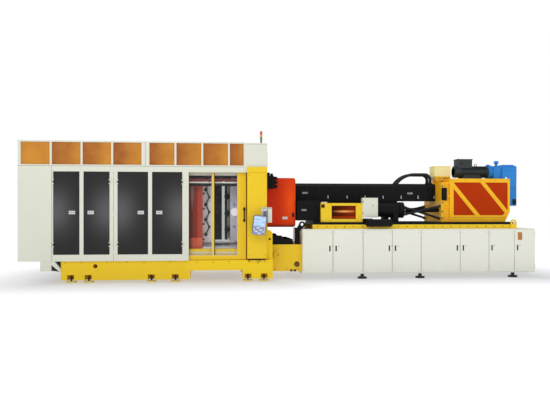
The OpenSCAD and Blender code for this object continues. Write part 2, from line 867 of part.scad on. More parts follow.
// Console under the tail: a hollow drop leg with a slanted gusset.
module tail_bracket() color(white) place() both_sides()
  side_profile(-wall_y + bracket_d / 10, -bed_y + bracket_d) polygon([
    [bracket_x0, bed_top],
    [bracket_x0, bracket_z0],
    [bracket_x0 + bracket_w, bracket_z0],
    [bracket_x0 + bracket_w, bed_top - gusset_reach],
    [bed_x0, gusset_z],
    [bed_x0, gusset_z + gusset_t],
    [bracket_x0 + bracket_w + gusset_reach, bed_top]
  ]);

// Upright posts of both side walls, with the door hinges' pins.
module housing_posts() color(white) place() {
  for (side = [-1, 1]) {
    y0 = side < 0 ? -wall_y : inner_y;
    spans = [
      [tail_panel_len, leaf_x[0]],
      [leaf_x[0] + tail_leaf_w, leaf_x[1]],
      [leaf_x[1] + tail_leaf_w, leaf_x[2]],
      [leaf_x[2] + platen_leaf_w, leaf_x[3]],
      [leaf_x[3] + platen_leaf_w, wall_end]
    ];
    for (span = spans) block([span[0], y0, door_z0], [span[1], y0 + wall_t, door_z1]);
  }
  for (i = [0:3]) for (z = [door_z0 + hinge_in, door_z1 - hinge_in]) {
    right = i % 2 == 1;
    x = right ? leaf_x[i] + leaf_w[i] - leaf_gap : leaf_x[i] + leaf_gap;
    hinge_pin(x, hinge_y, z, right ? -1 : 1, leaf_gap + 25);
  }
}

// Head and sill bands of both side walls, with the gate's track.
module housing_rails() color(white) place() {
  for (side = [-1, 1]) {
    y0 = side < 0 ? -wall_y : inner_y;
    block([tail_panel_len, y0, door_z1], [column_x0, y0 + wall_t, upper_z]);
    block([tail_panel_len, y0, bed_top], [wall_end, y0 + wall_t, door_z0]);
  }
  block(
    [gate_x0 - gate_travel - 30, -inner_y, track_z],
    [column_x0, -inner_y + track_d, track_z + track_h]
  );
}

module tail_side_panels() color(white) place() both_sides()
  block([0, -wall_y, bed_top], [tail_panel_len, -inner_y, upper_z]);

module tail_end_wall() color(white) place() difference() {
  block([0, -inner_y, bed_top], [end_wall_t, inner_y, housing_top]);
  for (span = end_spans()) block(
    [-1, span[0], upper_z + upper_sill_h],
    [end_wall_t + 1, span[1], upper_z + upper_sill_h + upper_window_h]
  );
}

// Where the tinted windows of the tail end start and end across the housing.
function end_spans() = let(w = (2 * inner_y - (end_window_n + 1) * upper_bar_w) / end_window_n) [
  for (i = [0:end_window_n - 1]) let(y = -inner_y + upper_bar_w + i * (w + upper_bar_w)) [y, y + w]
];

// Where the tinted windows of one side start and end along the housing.
function upper_spans() = concat(
  [for (i = [0:upper_left_n - 1]) let(x = upper_edge_w + i * (upper_left_w + upper_bar_w))
    [x, x + upper_left_w]],
  [for (i = [0:upper_right_n - 1]) let(x = upper_right_x + i * (upper_right_w + upper_bar_w))
    [x, min(x + upper_right_w, upper_x1 - 15)]]
);

module upper_guards() color(white) place() both_sides() difference() {
  block([0, -wall_y, upper_z], [upper_x1, -inner_y, housing_top]);
  for (span = upper_spans()) block(
    [span[0], -wall_y - 1, upper_z + upper_sill_h],
    [span[1], -inner_y + 1, upper_z + upper_sill_h + upper_window_h]
  );
}

module upper_panes() color(amber) place() {
  both_sides() for (span = upper_spans()) block(
    [span[0] + seat, -wall_y + pane_inset, upper_z + upper_sill_h + seat],
    [span[1] - seat, -wall_y + pane_inset + pane_t, upper_z + upper_sill_h + upper_window_h - seat]
  );
  for (span = end_spans()) block(
    [pane_inset, span[0] + seat, upper_z + upper_sill_h + seat],
    [pane_inset + pane_t, span[1] - seat, upper_z + upper_sill_h + upper_window_h - seat]
  );
}

module roof_ties() color(white) place() for (x = [upper_joint_x + 45, upper_x1 - tie_w])
  block([x, -inner_y, platen_z1 + roof_gap], [x + tie_w, inner_y, platen_z1 + roof_gap + tie_w]);

module rear_dark_panels() color(black) place() for (i = [0:3])
  block(
    [leaf_x[i] + seat, wall_y - leaf_t, door_z0 + seat],
    [leaf_x[i] + leaf_w[i] - seat, wall_y, door_z1 - seat]
  );

// A gate leaf on the operator's side, with two window openings.
module gate_leaf(x0, x1, z0, z1) difference() {
  block([x0, -gate_y, z0], [x1, -gate_y + gate_t, z1]);
  for (w = gate_windows()) block(
    [w[0], -gate_y - 1, gate_z0 + gate_bottom_h],
    [w[1], -gate_y + gate_t + 1, door_z1]
  );
}

function gate_windows() = let(
  a = gate_x0 + gate_back_stile_w,
  b = gate_x1 - gate_stile_w,
  half = (b - a - gate_mullion_w) / 2
) [[a, a + half], [b - half, b]];

module gate_glazing() for (w = gate_windows()) block(
  [w[0] + seat, -gate_y + gate_t / 2, gate_z0 + gate_bottom_h + seat],
  [w[1] - seat, -gate_y + gate_t / 2 + pane_t, door_z1 - seat]
);

module rear_gate() color(yellow) place() mirror([0, 1, 0]) gate_leaf(gate_x0, gate_x1, bed_top, gate_z1);

module rear_gate_panes() color(clear) place() mirror([0, 1, 0]) gate_glazing();

// Sliding gate of the operator's side, hung from the track by two hooks.
module gate_frame() color(yellow) place() {
  gate_leaf(gate_x0, gate_x1, gate_z0, gate_z1);
  hook_y = -gate_y + gate_t + gate_run;
  hook_z = track_z + track_h + 20;
  for (x = [gate_x0 + 1.2 * hook_w, gate_x1 - 2.2 * hook_w]) {
    block([x, hook_y - 25, gate_z1 - 80], [x + hook_w, hook_y, hook_z]);
    block([x, -inner_y + 10, track_z + track_h + seat], [x + hook_w, hook_y, hook_z]);
  }
}

module gate_panes() color(clear) place() gate_glazing();

module gate_handle() color(black) place() translate([gate_x1 - handle_in, -gate_y, gate_handle_z]) {
  for (z = [-gate_handle_len / 2, gate_handle_len / 2 - handle_block])
    translate([-handle_block / 2, -handle_reach, z]) cube([handle_block, handle_reach, handle_block]);
  translate([0, -handle_reach, -gate_handle_len / 2]) cylinder(h = gate_handle_len, r = handle_r);
}

// A dark door leaf with its hinge knuckles and its latch.
module clamp_door(i) color(black) place() {
  right = i % 2 == 1;
  x0 = leaf_x[i] + leaf_gap;
  x1 = leaf_x[i] + leaf_w[i] - leaf_gap;
  block([x0, -wall_y, door_z0 + leaf_gap], [x1, -wall_y + leaf_t, door_z1 - leaf_gap]);
  for (z = [door_z0 + hinge_in, door_z1 - hinge_in])
    hinge_knuckle(right ? x1 : x0, hinge_y, z, right ? -1 : 1, 50);
  latch_x = right ? x0 + latch_in : x1 - latch_in;
  translate([latch_x - latch_w / 2, -wall_y - latch_t, (door_z0 + door_z1) / 2 - latch_w / 7])
    cube([latch_w, latch_t, latch_h]);
}

module clamp_door_1() clamp_door(0);
module clamp_door_2() clamp_door(1);
module clamp_door_3() clamp_door(2);
module clamp_door_4() clamp_door(3);

// Yellow columns at the fixed platen, each on a plinth and under a cap.
module columns() color(yellow) place() both_sides() {
  block(
    [column_x0 + 20, -column_y + 60, bed_top],
    [column_x1 - 20, -column_y + column_d - 20, bed_top + plinth_h + 1]
  );
  block([column_x0, -column_y, bed_top + plinth_h], [column_x1, -column_y + column_d, upper_z - cap_h]);
  block(
    [column_x0, -column_y - cap_lip, upper_z - cap_h],
    [column_x1 + cap_lip, -column_y + column_d, upper_z]
  );
}

module column_top_boxes() color(white) place() both_sides()
  block(
    [upper_x1 + seat, -wall_y, upper_z],
    [column_x1 + cap_lip, -wall_y + column_d - 50, upper_z + top_box_h]
  );

module signal_lamp() color(red) place() translate([column_x1 - 130, -wall_y + 150, upper_z + top_box_h]) {
  cylinder(h = 90, d = 40);
  for (i = [0:2]) translate([0, 0, 90 + i * (lens_h + 4)]) cylinder(h = lens_h, d = lamp_d);
  translate([0, 0, 90]) cylinder(h = 3 * lens_h + 16, d = lamp_d - 12);
}

// Arm box on the column with the panel's swivel pin.
module panel_arm() color(white) place() {
  block(
    [column_x1 + 120 - arm_w, -column_y - arm_d, arm_z0],
    [column_x1 + 120, -column_y, arm_z0 + arm_h]
  );
  for (z = [swivel_z, sleeve_z + sleeve_len + swivel_gap]) {
    block([pin_x - 30, -panel_y1, z], [pin_x + 30, -column_y - arm_d + 1, z + swivel_lug_t]);
    translate([pin_x, -panel_y1, z]) cylinder(h = swivel_lug_t, r = 30);
  }
  translate([pin_x, -panel_y1, swivel_z])
    cylinder(h = sleeve_len + 2 * (swivel_gap + swivel_lug_t), d = swivel_d);
}

// Control panel with its bored swivel sleeve.
module control_panel() color([0.75, 0.77, 0.8]) place() {
  translate([panel_x1 - panel_w / 2, -panel_front, panel_z]) rotate([0, panel_roll, 0])
    side_profile(0, panel_d) round_rect([-panel_w / 2, -panel_h / 2], [panel_w / 2, panel_h / 2], 30);
  difference() {
    union() {
      translate([pin_x, -panel_y1, sleeve_z]) cylinder(h = sleeve_len, d = swivel_d + 30);
      block(
        [pin_x - 40, -panel_front + panel_d - 10, sleeve_z],
        [pin_x + 5, -panel_y1, sleeve_z + 75]
      );
    }
    translate([pin_x, -panel_y1, sleeve_z - 1]) cylinder(h = sleeve_len + 2, d = swivel_d + 2 * seat);
  }
}

// Rods on the tie bars' axes.
module tie_bar_rods(x0, x1, r) for (y = [-1, 1] * tie_bar_span_y / 2, z = tie_bar_z) bar_x(x0, x1, y, z, r);

// A platen block with tie-bar holes.
module platen_block(x0, x1, hole_r) difference() {
  end_profile(x0, x1) round_rect([-platen_w / 2, platen_z0], [platen_w / 2, platen_z1], 120);
  tie_bar_rods(x0 - 1, x1 + 1, hole_r);
  both_sides() block(
    [x0 + platen_pocket_rim, -platen_w / 2 - 1, platen_z0 + 3 * platen_pocket_rim],
    [x1 - platen_pocket_rim, -platen_w / 2 + platen_pocket_d, platen_z1 - 3 * platen_pocket_rim]
  );
}

module fixed_platen() color(red) place() {
  difference() {
    platen_block(fixed_face_x, platen_back_x, tie_bar_d / 2 + seat);
    bar_x(fixed_face_x - 1, platen_back_x + 1, 0, axis_z, barrel_r + 40);
  }
  both_sides() block(
    [fixed_face_x + platen_foot_in, -platen_w / 2 + platen_foot_in, bed_top],
    [platen_back_x - platen_foot_in, -platen_w / 2 + platen_foot_in + platen_foot_w, platen_z0 + 10]
  );
}

module moving_platen() color(red) place() difference() {
  hole_r = tie_bar_d / 2 + tie_bar_run;
  union() {
    platen_block(moving_platen_x0, moving_face_x, hole_r);
    both_sides() block(
      [moving_platen_x0 + 40, -slide_y - slideway_w / 2 + 10, slide_z + seat],
      [moving_face_x - 40, -slide_y + slideway_w / 2 - 10, platen_z0 + 130]
    );
    tie_bar_rods(moving_platen_x0 - lock_len, moving_platen_x0 + 1, lock_d / 2);
  }
  tie_bar_rods(moving_platen_x0 - lock_len - 1, moving_face_x + 1, hole_r);
}

module moving_mould() color(steel) place() {
  x1 = moving_face_x + spacer_t;
  difference() {
    block([moving_face_x, -mould_w / 2, mould_z0], [x1, mould_w / 2, mould_z1]);
    both_sides() for (i = [0:8]) mould_hole(moving_face_x + spacer_t * (i % 2 == 0 ? 0.35 : 0.72), i);
  }
  block(
    [x1 - 1, -mould_w / 2 + mould_neck, mould_z0 + mould_neck],
    [x1 + mould_neck_len + 1, mould_w / 2 - mould_neck, mould_z1 - mould_neck]
  );
  block(
    [x1 + mould_neck_len, -mould_w / 2 + mould_neck / 2, mould_z0 + mould_neck / 2],
    [moving_mould_x1, mould_w / 2 - mould_neck / 2, mould_z1 - mould_neck / 2]
  );
}

// A round side hole of the mould, counted up from its lower end.
module mould_hole(x, i) translate([x, -mould_w / 2 + mould_hole_d, mould_z0 + 180 + i * mould_hole_step])
  rotate([90, 0, 0]) cylinder(h = mould_hole_d + 1, r = mould_hole_r);

module fixed_mould() color(steel) place() {
  x0 = fixed_face_x - fixed_mould_t;
  x1 = x0 + cavity_t;
  block(
    [x0, -mould_w / 2 + mould_neck / 2, mould_z0 + mould_neck / 2],
    [x1, mould_w / 2 - mould_neck / 2, mould_z1 - mould_neck / 2]
  );
  block(
    [x1 - 1, -mould_w / 2 + mould_neck, mould_z0 + mould_neck],
    [x1 + mould_neck_len, mould_w / 2 - mould_neck, mould_z1 - mould_neck]
  );
  difference() {
    block([x1 + mould_neck_len - 1, -mould_w / 2, mould_z0], [fixed_face_x, mould_w / 2, mould_z1]);
    both_sides() for (i = [1, 4, 7]) mould_hole(fixed_face_x - 100, i);
  }
}

module tie_bars() color(steel) place() tie_bar_rods(tie_bar_x0, platen_back_x - 20, tie_bar_d / 2);

// Valve block on the back of the fixed platen.
module platen_valves() color(black) place() both_sides() {
  y = -guard_w / 2 - 150;
  x1 = platen_back_x + valve_len;
  block([platen_back_x, -platen_w / 2 + 60, valve_z], [x1, -guard_w / 2 - 20, valve_z + valve_h]);
  for (i = [0:2]) bar_x(x1 - 1, x1 + coil_len, y, valve_z + coil_r + 12 + i * coil_step, coil_r);
  for (i = [0:1]) translate([platen_back_x + coil_r + i * 0.8 * coil_step, y, valve_z + valve_h - 1])
    cylinder(h = coil_len - i * 25, r = coil_r - 10);
}

// Round-cornered sheet guard round the nozzle, open to the platen.
module nozzle_guard() color(red) place() difference() {
  side_profile(-guard_w / 2, guard_w / 2) guard_outline(0);
  side_profile(-guard_w / 2 + guard_t, guard_w / 2 - guard_t) guard_outline(guard_t);
  bar_x(guard_x1 - guard_t - 1, guard_x1 + 1, 0, axis_z, barrel_r + 30);
}

// Side view of the nozzle guard, square to the platen and round at the free end.
module guard_outline(inset) {
  low = [platen_back_x + guard_r, guard_z0 + inset];
  round_rect(low, [guard_x1 - inset, guard_z1 - inset], guard_r - inset);
  translate([platen_back_x - (inset > 0 ? 1 : 0), guard_z0 + inset])
    square([guard_len / 2, guard_z1 - guard_z0 - 2 * inset]);
}

// Frame that links the bed to the injection base.
module link_frame() color(yellow) place() {
  both_sides() {
    side_profile(-link_w / 2, -link_w / 2 + link_t) difference() {
      translate([bed_x3, link_z0]) square([base_x0 - bed_x3, link_z1 - link_z0]);
      translate([base_x0 - link_hole_in, link_z0 + link_hole_h]) circle(link_hole_r);
    }
    side_profile(-link_w / 2 - lug_t, -link_w / 2 + 1)
      translate([bed_x3 + link_lug_in, link_z0 + link_lug_h]) difference() {
        circle(lug_r + 15);
        circle(lug_bore_r + 5);
      }
  }
  block(
    [bed_x3, -link_w / 2 + link_t - 1, link_z1 - deck_t],
    [base_x0, link_w / 2 - link_t + 1, link_z1]
  );
  block(
    [bed_x3, -link_w / 2 + link_t - 1, link_z0],
    [bed_x3 + link_bar, link_w / 2 - link_t + 1, link_z0 + link_bar]
  );
  block(
    [base_x0 - link_bar, -link_w / 2 + link_t - 1, link_z0],
    [base_x0, link_w / 2 - link_t + 1, link_z0 + link_bar]
  );
}

module purge_tray() color(black) place() {
  difference() {
    side_profile(-link_w / 2 + 20, link_w / 2 - 20) tray_outline(tray_h, tray_low_h);
    side_profile(-link_w / 2 + 20 + tray_t, link_w / 2 - 20 - tray_t) difference() {
      tray_outline(tray_h + 1, tray_low_h + 1);
      translate([bed_x3, link_z1]) square([tray_len, tray_t]);
      translate([bed_x3, link_z1]) square([tray_t, tray_h + 2]);
      translate([bed_x3 + tray_len - tray_t, link_z1]) square([tray_t, tray_low_h + 2]);
    }
  }
  side_profile(-link_w / 2 + 10, -link_w / 2 + 10 + lug_t) difference() {
    union() {
      translate([base_x0 - 50 - post_w, link_z1]) square([post_w, base_z1 + 30 - link_z1]);
      polygon([
        [base_x0 - 50 - post_w, base_z1 - 60],
        [base_x0 - 50, base_z1 - 60],
        [base_x0 - 2, base_z1 + 5],
        [base_x0 + 60, base_z1 + 60],
        [base_x0 - 40, base_z1 + 180]
      ]);
      translate([base_x0 + 10, base_z1 + lug_r + 42]) circle(lug_r);
    }
    translate([base_x0 + 10, base_z1 + lug_r + 42]) circle(lug_bore_r - 8);
  }
}

// Side view of the purge tray: high beside the platen, low beside the base.
module tray_outline(high, low) polygon([
  [bed_x3, link_z1],
  [bed_x3 + tray_len, link_z1],
  [bed_x3 + tray_len, link_z1 + low],
  [bed_x3 + 0.62 * tray_len, link_z1 + low],
  [bed_x3 + 0.46 * tray_len, link_z1 + high],
  [bed_x3, link_z1 + high]
]);

module base_plates() color(white) place() for (z = [base_z0, base_z1 - base_plate_t])
  block([base_x0, -base_y, z], [total_len, base_y, z + base_plate_t]);

// Posts between the doors, end walls and the rear wall of the base.
module base_uprights() color(white) place() {
  z0 = base_z0 + base_plate_t;
  z1 = base_z1 - base_plate_t;
  rib_y = -base_y - base_door_t + 3;
  for (x = [for (i = [1:4]) bay_x[i]]) {
    block([x - base_post_w / 2, -base_y, z0], [x + base_post_w / 2, -base_y + base_post_d, z1]);
    low = base_hinge_z[0];
    high = base_hinge_z[1];
    for (span = [[z0, low - 70], [low + 70, high - 70], [high + 70, z1]])
      block([x - base_rib_w / 2, rib_y, span[0]], [x + base_rib_w / 2, -base_y + 1, span[1]]);
  }
  for (x = [for (i = [1, 3, 5]) base_door_x[i]]) {
    block([x - base_post_w / 4, -base_y, z0], [x + base_post_w / 4, -base_y + base_post_d, z1]);
    block([x - base_rib_w / 2, rib_y, z0], [x + base_rib_w / 2, -base_y + 1, z1]);
  }
  for (x = [base_x0, total_len - base_wall_t]) block([x, -base_y, z0], [x + base_wall_t, base_y, z1]);
  block(
    [base_x0 + base_wall_t + seat, base_y - base_wall_t, z0],
    [total_len - base_wall_t - seat, base_y, z1]
  );
  for (i = [0:7], z = base_hinge_z) base_hinge(i, z);
}

function base_door_x0(i) = base_door_x[i] + base_door_gap / 2;
function base_door_x1(i) = base_door_x[i + 1] - base_door_gap / 2;
function base_hinge_x(i) = base_door_right[i] ? base_door_x1(i) : base_door_x0(i);

module base_hinge(i, z) {
  y = -base_y - base_door_t - seat;
  side = base_door_right[i] ? -1 : 1;
  translate([base_hinge_x(i), y, z - knuckle_len]) {
    cylinder(h = 2 * knuckle_len, r = hinge_pin_r);
    for (low = [0, 1.5 * knuckle_len + 1]) translate([0, 0, low]) {
      cylinder(h = knuckle_len / 2 - 1, r = knuckle_r - 2);
      translate([side > 0 ? -knuckle_r + 2 : 0, 0, 0])
        cube([knuckle_r - 2, base_door_t + seat + 5, knuckle_len / 2 - 1]);
    }
  }
}

module base_door(i) color(white) place() {
  x0 = base_door_x0(i);
  x1 = base_door_x1(i);
  x = base_hinge_x(i);
  y = -base_y - base_door_t - seat;
  side = base_door_right[i] ? -1 : 1;
  difference() {
    union() {
      block([x0, y, base_door_z0], [x1, y + base_door_t, base_door_z1]);
      for (z = base_hinge_z)
        translate([x, y, z - knuckle_len / 2]) cylinder(h = knuckle_len, r = knuckle_r - 2);
    }
    for (z = base_hinge_z) {
      translate([x, y, z - knuckle_len - 5]) cylinder(h = 2 * knuckle_len + 10, r = hinge_pin_r + pin_run);
      for (low = [z - knuckle_len - 5, z + knuckle_len / 2]) translate([x, y, low])
        cylinder(h = knuckle_len / 2 + 5, r = knuckle_r + 1);
    }
  }
  handle_x = side > 0 ? x1 - 70 : x0 + 70;
  translate([handle_x - pull_w / 2, y - pull_t, pull_z]) cube([pull_w, pull_t + 1, pull_len]);
}

module base_door_1() base_door(0);
module base_door_2() base_door(1);
module base_door_3() base_door(2);
module base_door_4() base_door(3);
module base_door_5() base_door(4);
module base_door_6() base_door(5);
module base_door_7() base_door(6);
module base_door_8() base_door(7);

module base_pads() color(black) place() both_sides() for (x = [bay_x[1], bay_x[2], bay_x[4]])
  translate([x, -base_y + pad_d / 2 - 40, 0]) {
    cylinder(h = 45, d = pad_d);
    cylinder(h = base_z0, d = 90);
  }

// Slide rails on the base, each with a lifting lug at its end.
module slide_rails() color(yellow) place() both_sides() {
  block([rail_x0, -rail_span / 2, base_z1], [rail_x0 + rail_len, -rail_span / 2 + rail_w, rail_z]);
  translate([lug_x, -rail_span / 2 - lug_gap - lug_t, base_z1]) side_profile(0, lug_t) difference() {
    union() {
      translate([0, lug_h]) circle(lug_r);
      translate([-lug_r, 0]) square([2 * lug_r, lug_h]);
    }
    translate([0, lug_h]) circle(lug_bore_r);
  }
}

module carriage_runners() color(black) place() difference() {
  y0 = rail_span / 2 - rail_w + 11;
  union() {
    both_sides() block(
      [runner_x0, -rail_span / 2 + 10, runner_z0],
      [drive_x1, -rail_span / 2 + rail_w - 10, runner_z1]
    );
    block([runner_x0, -y0, runner_z0], [apron_x1, y0, apron_z0]);
    block(
      [cylinder_x1 - saddle_in - 20, -y0, runner_z0],
      [cylinder_x1 - saddle_in + saddle_len + 20, y0, runner_z1]
    );
    block([cover_x1, -y0, runner_z0], [drive_x1, y0, runner_z1]);
    both_sides() block(
      [cylinder_x1 - saddle_in, -cylinder_y - tube_d / 2 + 20, runner_z1 - 1],
      [cylinder_x1 - saddle_in + saddle_len, -cylinder_y + tube_d / 2 - 20, cylinder_z - 80]
    );
  }
  both_sides() bar_x(
    cylinder_x1 - saddle_in - 1, cylinder_x1 - saddle_in + saddle_len + 1,
    -cylinder_y, cylinder_z, tube_d / 2 + seat
  );
}

module barrel() color(steel) place() translate([0, 0, axis_z]) rotate([0, 90, 0]) rotate_extrude() polygon([
  [0, fixed_face_x + 60],
  [30, fixed_face_x + 60],
  [90, fixed_face_x + 130],
  [90, platen_back_x + 60],
  [barrel_r, platen_back_x + 160],
  [barrel_r, drive_x0 + barrel_seat_len - seat],
  [0, drive_x0 + barrel_seat_len - seat]
]);

module barrel_cover() color(black) place() {
  difference() {
    end_profile(cover_x0, cover_x1) polygon([
      [-cover_w / 2, axis_z - cover_w / 2],
      [cover_w / 2, axis_z - cover_w / 2],
      [cover_w / 2, cover_top - cover_chamfer],
      [cover_w / 2 - cover_chamfer, cover_top],
      [-cover_w / 2 + cover_chamfer, cover_top],
      [-cover_w / 2, cover_top - cover_chamfer]
    ]);
    bar_x(cover_x0 - 1, cover_x1 + 1, 0, axis_z, barrel_r + seat);
  }
  block([cover_x0, -apron_w / 2, apron_z0], [apron_x1, apron_w / 2, axis_z - cover_w / 2]);
}

module hydraulic_cylinders() color(black) place() both_sides() {
  bar_x(apron_x1, apron_x1 + head_len, -cylinder_y, cylinder_z, cylinder_d / 2);
  bar_x(apron_x1 + head_len - 1, cylinder_x1 - head_len + 1, -cylinder_y, cylinder_z, tube_d / 2);
  bar_x(cylinder_x1 - head_len, cylinder_x1, -cylinder_y, cylinder_z, cylinder_d / 2);
  bar_x(cylinder_x1 - 1, cover_x1, -cylinder_y, cylinder_z, rod_r);
  shift_cylinder();
}

// Carriage cylinder beside a runner, on one bracket.
module shift_cylinder() {
  x0 = cyl_guard_x1 + shift_gap;
  y = -rail_span / 2 + 10 - shift_run - shift_r;
  z = runner_z1 - 20;
  bar_x(x0, x0 + shift_len, y, z, shift_r);
  bar_x(x0 - 25, x0 + 1, y, z, shift_r - 20);
  bar_x(x0 + shift_len - 1, x0 + shift_len + 25, y, z, shift_r - 20);
  block(
    [x0 + shift_len / 2 - 40, y, runner_z0 + 10],
    [x0 + shift_len / 2 + 40, -rail_span / 2 + 10, runner_z1 - 5]
  );
}

module cylinder_guard() color(yellow) place() both_sides() difference() {
  block(
    [cyl_guard_x0, -cyl_guard_y, runner_z1],
    [cyl_guard_x1, -rail_span / 2 + rail_w - 10, runner_z1 + cyl_guard_h]
  );
  cyl_guard_window(-1, 50, 0);
}

module cyl_guard_window(y0, y1, inset) translate([0, -cyl_guard_y, 0]) block(
  [cyl_guard_x0 + cyl_frame_0 + inset, y0, runner_z1 + cyl_sill + inset],
  [cyl_guard_x1 - cyl_frame_1 - inset, y1, runner_z1 + cyl_sill + cyl_window_h - inset]
);

module carriage_panes() color(rust) place() both_sides() {
  cyl_guard_window(10, 10 + pane_t, seat);
  translate([0, -drive_w / 2, 0]) side_profile(10, 10 + pane_t) drive_window(seat);
}

module junction_box() color(white) place()
  translate([cyl_guard_x1, -cyl_guard_y, runner_z1 + junction_lift])
    cube([junction_len, junction_d, junction_h]);

module feed_casting() color(yellow) place() difference() {
  union() {
    block([cover_x1, -feed_w / 2, runner_z1], [cover_x1 + feed_plate_t, feed_w / 2, feed_z1]);
    block(
      [cover_x1 + feed_plate_t - 1, -feed_core_w / 2, runner_z1],
      [drive_x0, feed_core_w / 2, feed_z1]
    );
    for (z = [runner_z1, runner_z1 + 0.36 * (feed_z1 - runner_z1), axis_z - 130, feed_z1 - feed_rib_t])
      block([cover_x1 + feed_plate_t - 1, -feed_w / 2, z], [drive_x0, feed_w / 2, z + feed_rib_t]);
  }
  bar_x(cover_x1 - 1, drive_x0 + 1, 0, axis_z, barrel_r + seat);
  translate([(cover_x1 + hopper_foot_in + drive_x0 - hopper_gap) / 2, 0, axis_z + barrel_r - 10])
    cylinder(h = feed_z1, r = throat_r);
}

module hopper() color([0.95, 0.87, 0.55]) place() difference() {
  hopper_form(0);
  hopper_form(hopper_t);
  block(
    [cover_x1 + hopper_foot_in + hopper_t, -hopper_foot_w + 2 * hopper_t, feed_z1 - 1],
    [drive_x0 - hopper_gap - hopper_t, hopper_foot_w - 2 * hopper_t, hopper_top + 1]
  );
}

// Outer form of the hopper, or its inside where inset is the wall.
module hopper_form(inset) {
  top = hopper_top + (inset > 0 ? 1 : 0);
  x1 = drive_x0 + hopper_lap;
  foot_x1 = drive_x0 - hopper_gap;
  intersection() {
    side_profile(-hopper_w / 2 + inset, hopper_w / 2 - inset) polygon([
      [cover_x1 + hopper_foot_in + inset, feed_z1 + inset],
      [foot_x1 - inset, feed_z1 + inset],
      [foot_x1 - inset, drive_z1 + hopper_lift + inset],
      [x1 - inset, drive_z1 + hopper_lift + inset],
      [x1 - inset, top],
      [x1 - hopper_len + inset, top],
      [x1 - hopper_len + inset, drive_z1 + funnel_lift]
    ]);
    end_profile(x1 - hopper_len, x1) polygon([
      [-hopper_foot_w + inset, feed_z1],
      [hopper_foot_w - inset, feed_z1],
      [hopper_w / 2 - inset, drive_z1 + funnel_lift],
      [hopper_w / 2 - inset, top],
      [-hopper_w / 2 + inset, top],
      [-hopper_w / 2 + inset, drive_z1 + funnel_lift]
    ]);
  }
}

module drive_guard() color(yellow) place() difference() {
  side_profile(-drive_w / 2, drive_w / 2) polygon([
    [drive_x0, drive_z0],
    [drive_x1 - drive_chamfer, drive_z0],
    [drive_x1, drive_z0 + 2 * drive_chamfer],
    [drive_x1, drive_z1],
    [drive_x0, drive_z1]
  ]);
  bar_x(drive_x0 - 1, drive_x0 + barrel_seat_len, 0, axis_z, barrel_r + seat);
  both_sides() translate([0, -drive_w / 2, 0]) side_profile(-1, 60) drive_window(0);
}

// The three window panes of the drive guard, between two slanted bars.
module drive_window(inset) difference() {
  round_rect(
    [drive_x0 + drive_bar_w + inset, drive_z0 + 1.7 * drive_bar_w + inset],
    [drive_x1 - 0.6 * drive_bar_w - inset, drive_z1 - drive_bar_w - inset],
    40
  );
  for (i = [0, 1]) translate([drive_x0 + slant_1_in + i * slant_step, drive_z1 - 140]) rotate(-slant_angle)
    translate([-600, -drive_bar_w / 2 - inset]) square([2400, drive_bar_w + 2 * inset]);
  translate([drive_x1 - 0.6 * drive_bar_w, drive_z0 + 1.7 * drive_bar_w]) rotate(-45)
    translate([-100, -120 + inset]) square(120, center = false);
}

module screw_motor() color(black) place() {
  end_profile(motor_x0 + fan_len, motor_x1 - shield_len) translate([0, motor_z]) {
    circle(motor_d / 2 - fin_h);
    for (i = [0:fin_n - 1]) rotate(i * 360 / fin_n) translate([0, -3]) square([motor_d / 2, 6]);
  }
  bar_x(motor_x0, motor_x0 + fan_len + 1, 0, motor_z, motor_d / 2);
  bar_x(motor_x1 - shield_len - 1, motor_x1, 0, motor_z, motor_d / 2);
  both_sides() block(
    [motor_x0 + 200, -motor_d / 2, drive_z1],
    [motor_x1 - 200, -motor_d / 2 + 110, drive_z1 + motor_foot_h + 20]
  );
  block(
    [motor_x0 + 240, -motor_d / 2 + 40, drive_z1 + 20],
    [motor_x1 - 240, motor_d / 2 - 40, motor_z - 60]
  );
  block(
    [motor_x0 + 60, -130, motor_z + 100],
    [motor_x0 + 60 + terminal_len, 130, motor_z + motor_d / 2 + terminal_h - 20]
  );
  block(
    [motor_x0 + 50, -140, motor_z + motor_d / 2 + terminal_h - 21],
    [motor_x0 + 70 + terminal_len, 140, motor_z + motor_d / 2 + terminal_h]
  );
}

module gearbox() color(blue) place() {
  side_profile(-gearbox_w / 2 + gearbox_step, gearbox_w / 2 - gearbox_step)
    round_rect([drive_x1 - gearbox_lap, drive_z1], [drive_x1 + gearbox_len, gearbox_z1], gearbox_r);
  side_profile(-gearbox_w / 2, gearbox_w / 2)
    round_rect([drive_x1, gearbox_z0], [drive_x1 + gearbox_len - 30, gearbox_z1 - 60], gearbox_r / 2);
  bar_x(motor_x1, drive_x1 - gearbox_lap + 1, 0, motor_z, motor_d / 2 + 25);
  bar_x(motor_x1 + 20, motor_x1 + 60, 0, motor_z, motor_d / 2 + 50);
  for (z = [axis_z, motor_z])
    bar_x(drive_x1 + gearbox_len - 31, drive_x1 + gearbox_len + 20, 0, z, end_cover_r);
  translate([drive_x1 - 60, 0, gearbox_z1 - 1]) {
    cylinder(h = 70, r = 0.6 * breather_r);
    translate([0, 0, 69]) cylinder(h = 75, r = breather_r);
  }
  for (y = [-150, -50, 50, 150]) block(
    [drive_x1 + 40, y - 8, gearbox_z1 - 1],
    [drive_x1 + gearbox_len - 60, y + 8, gearbox_z1 + 30]
  );
}

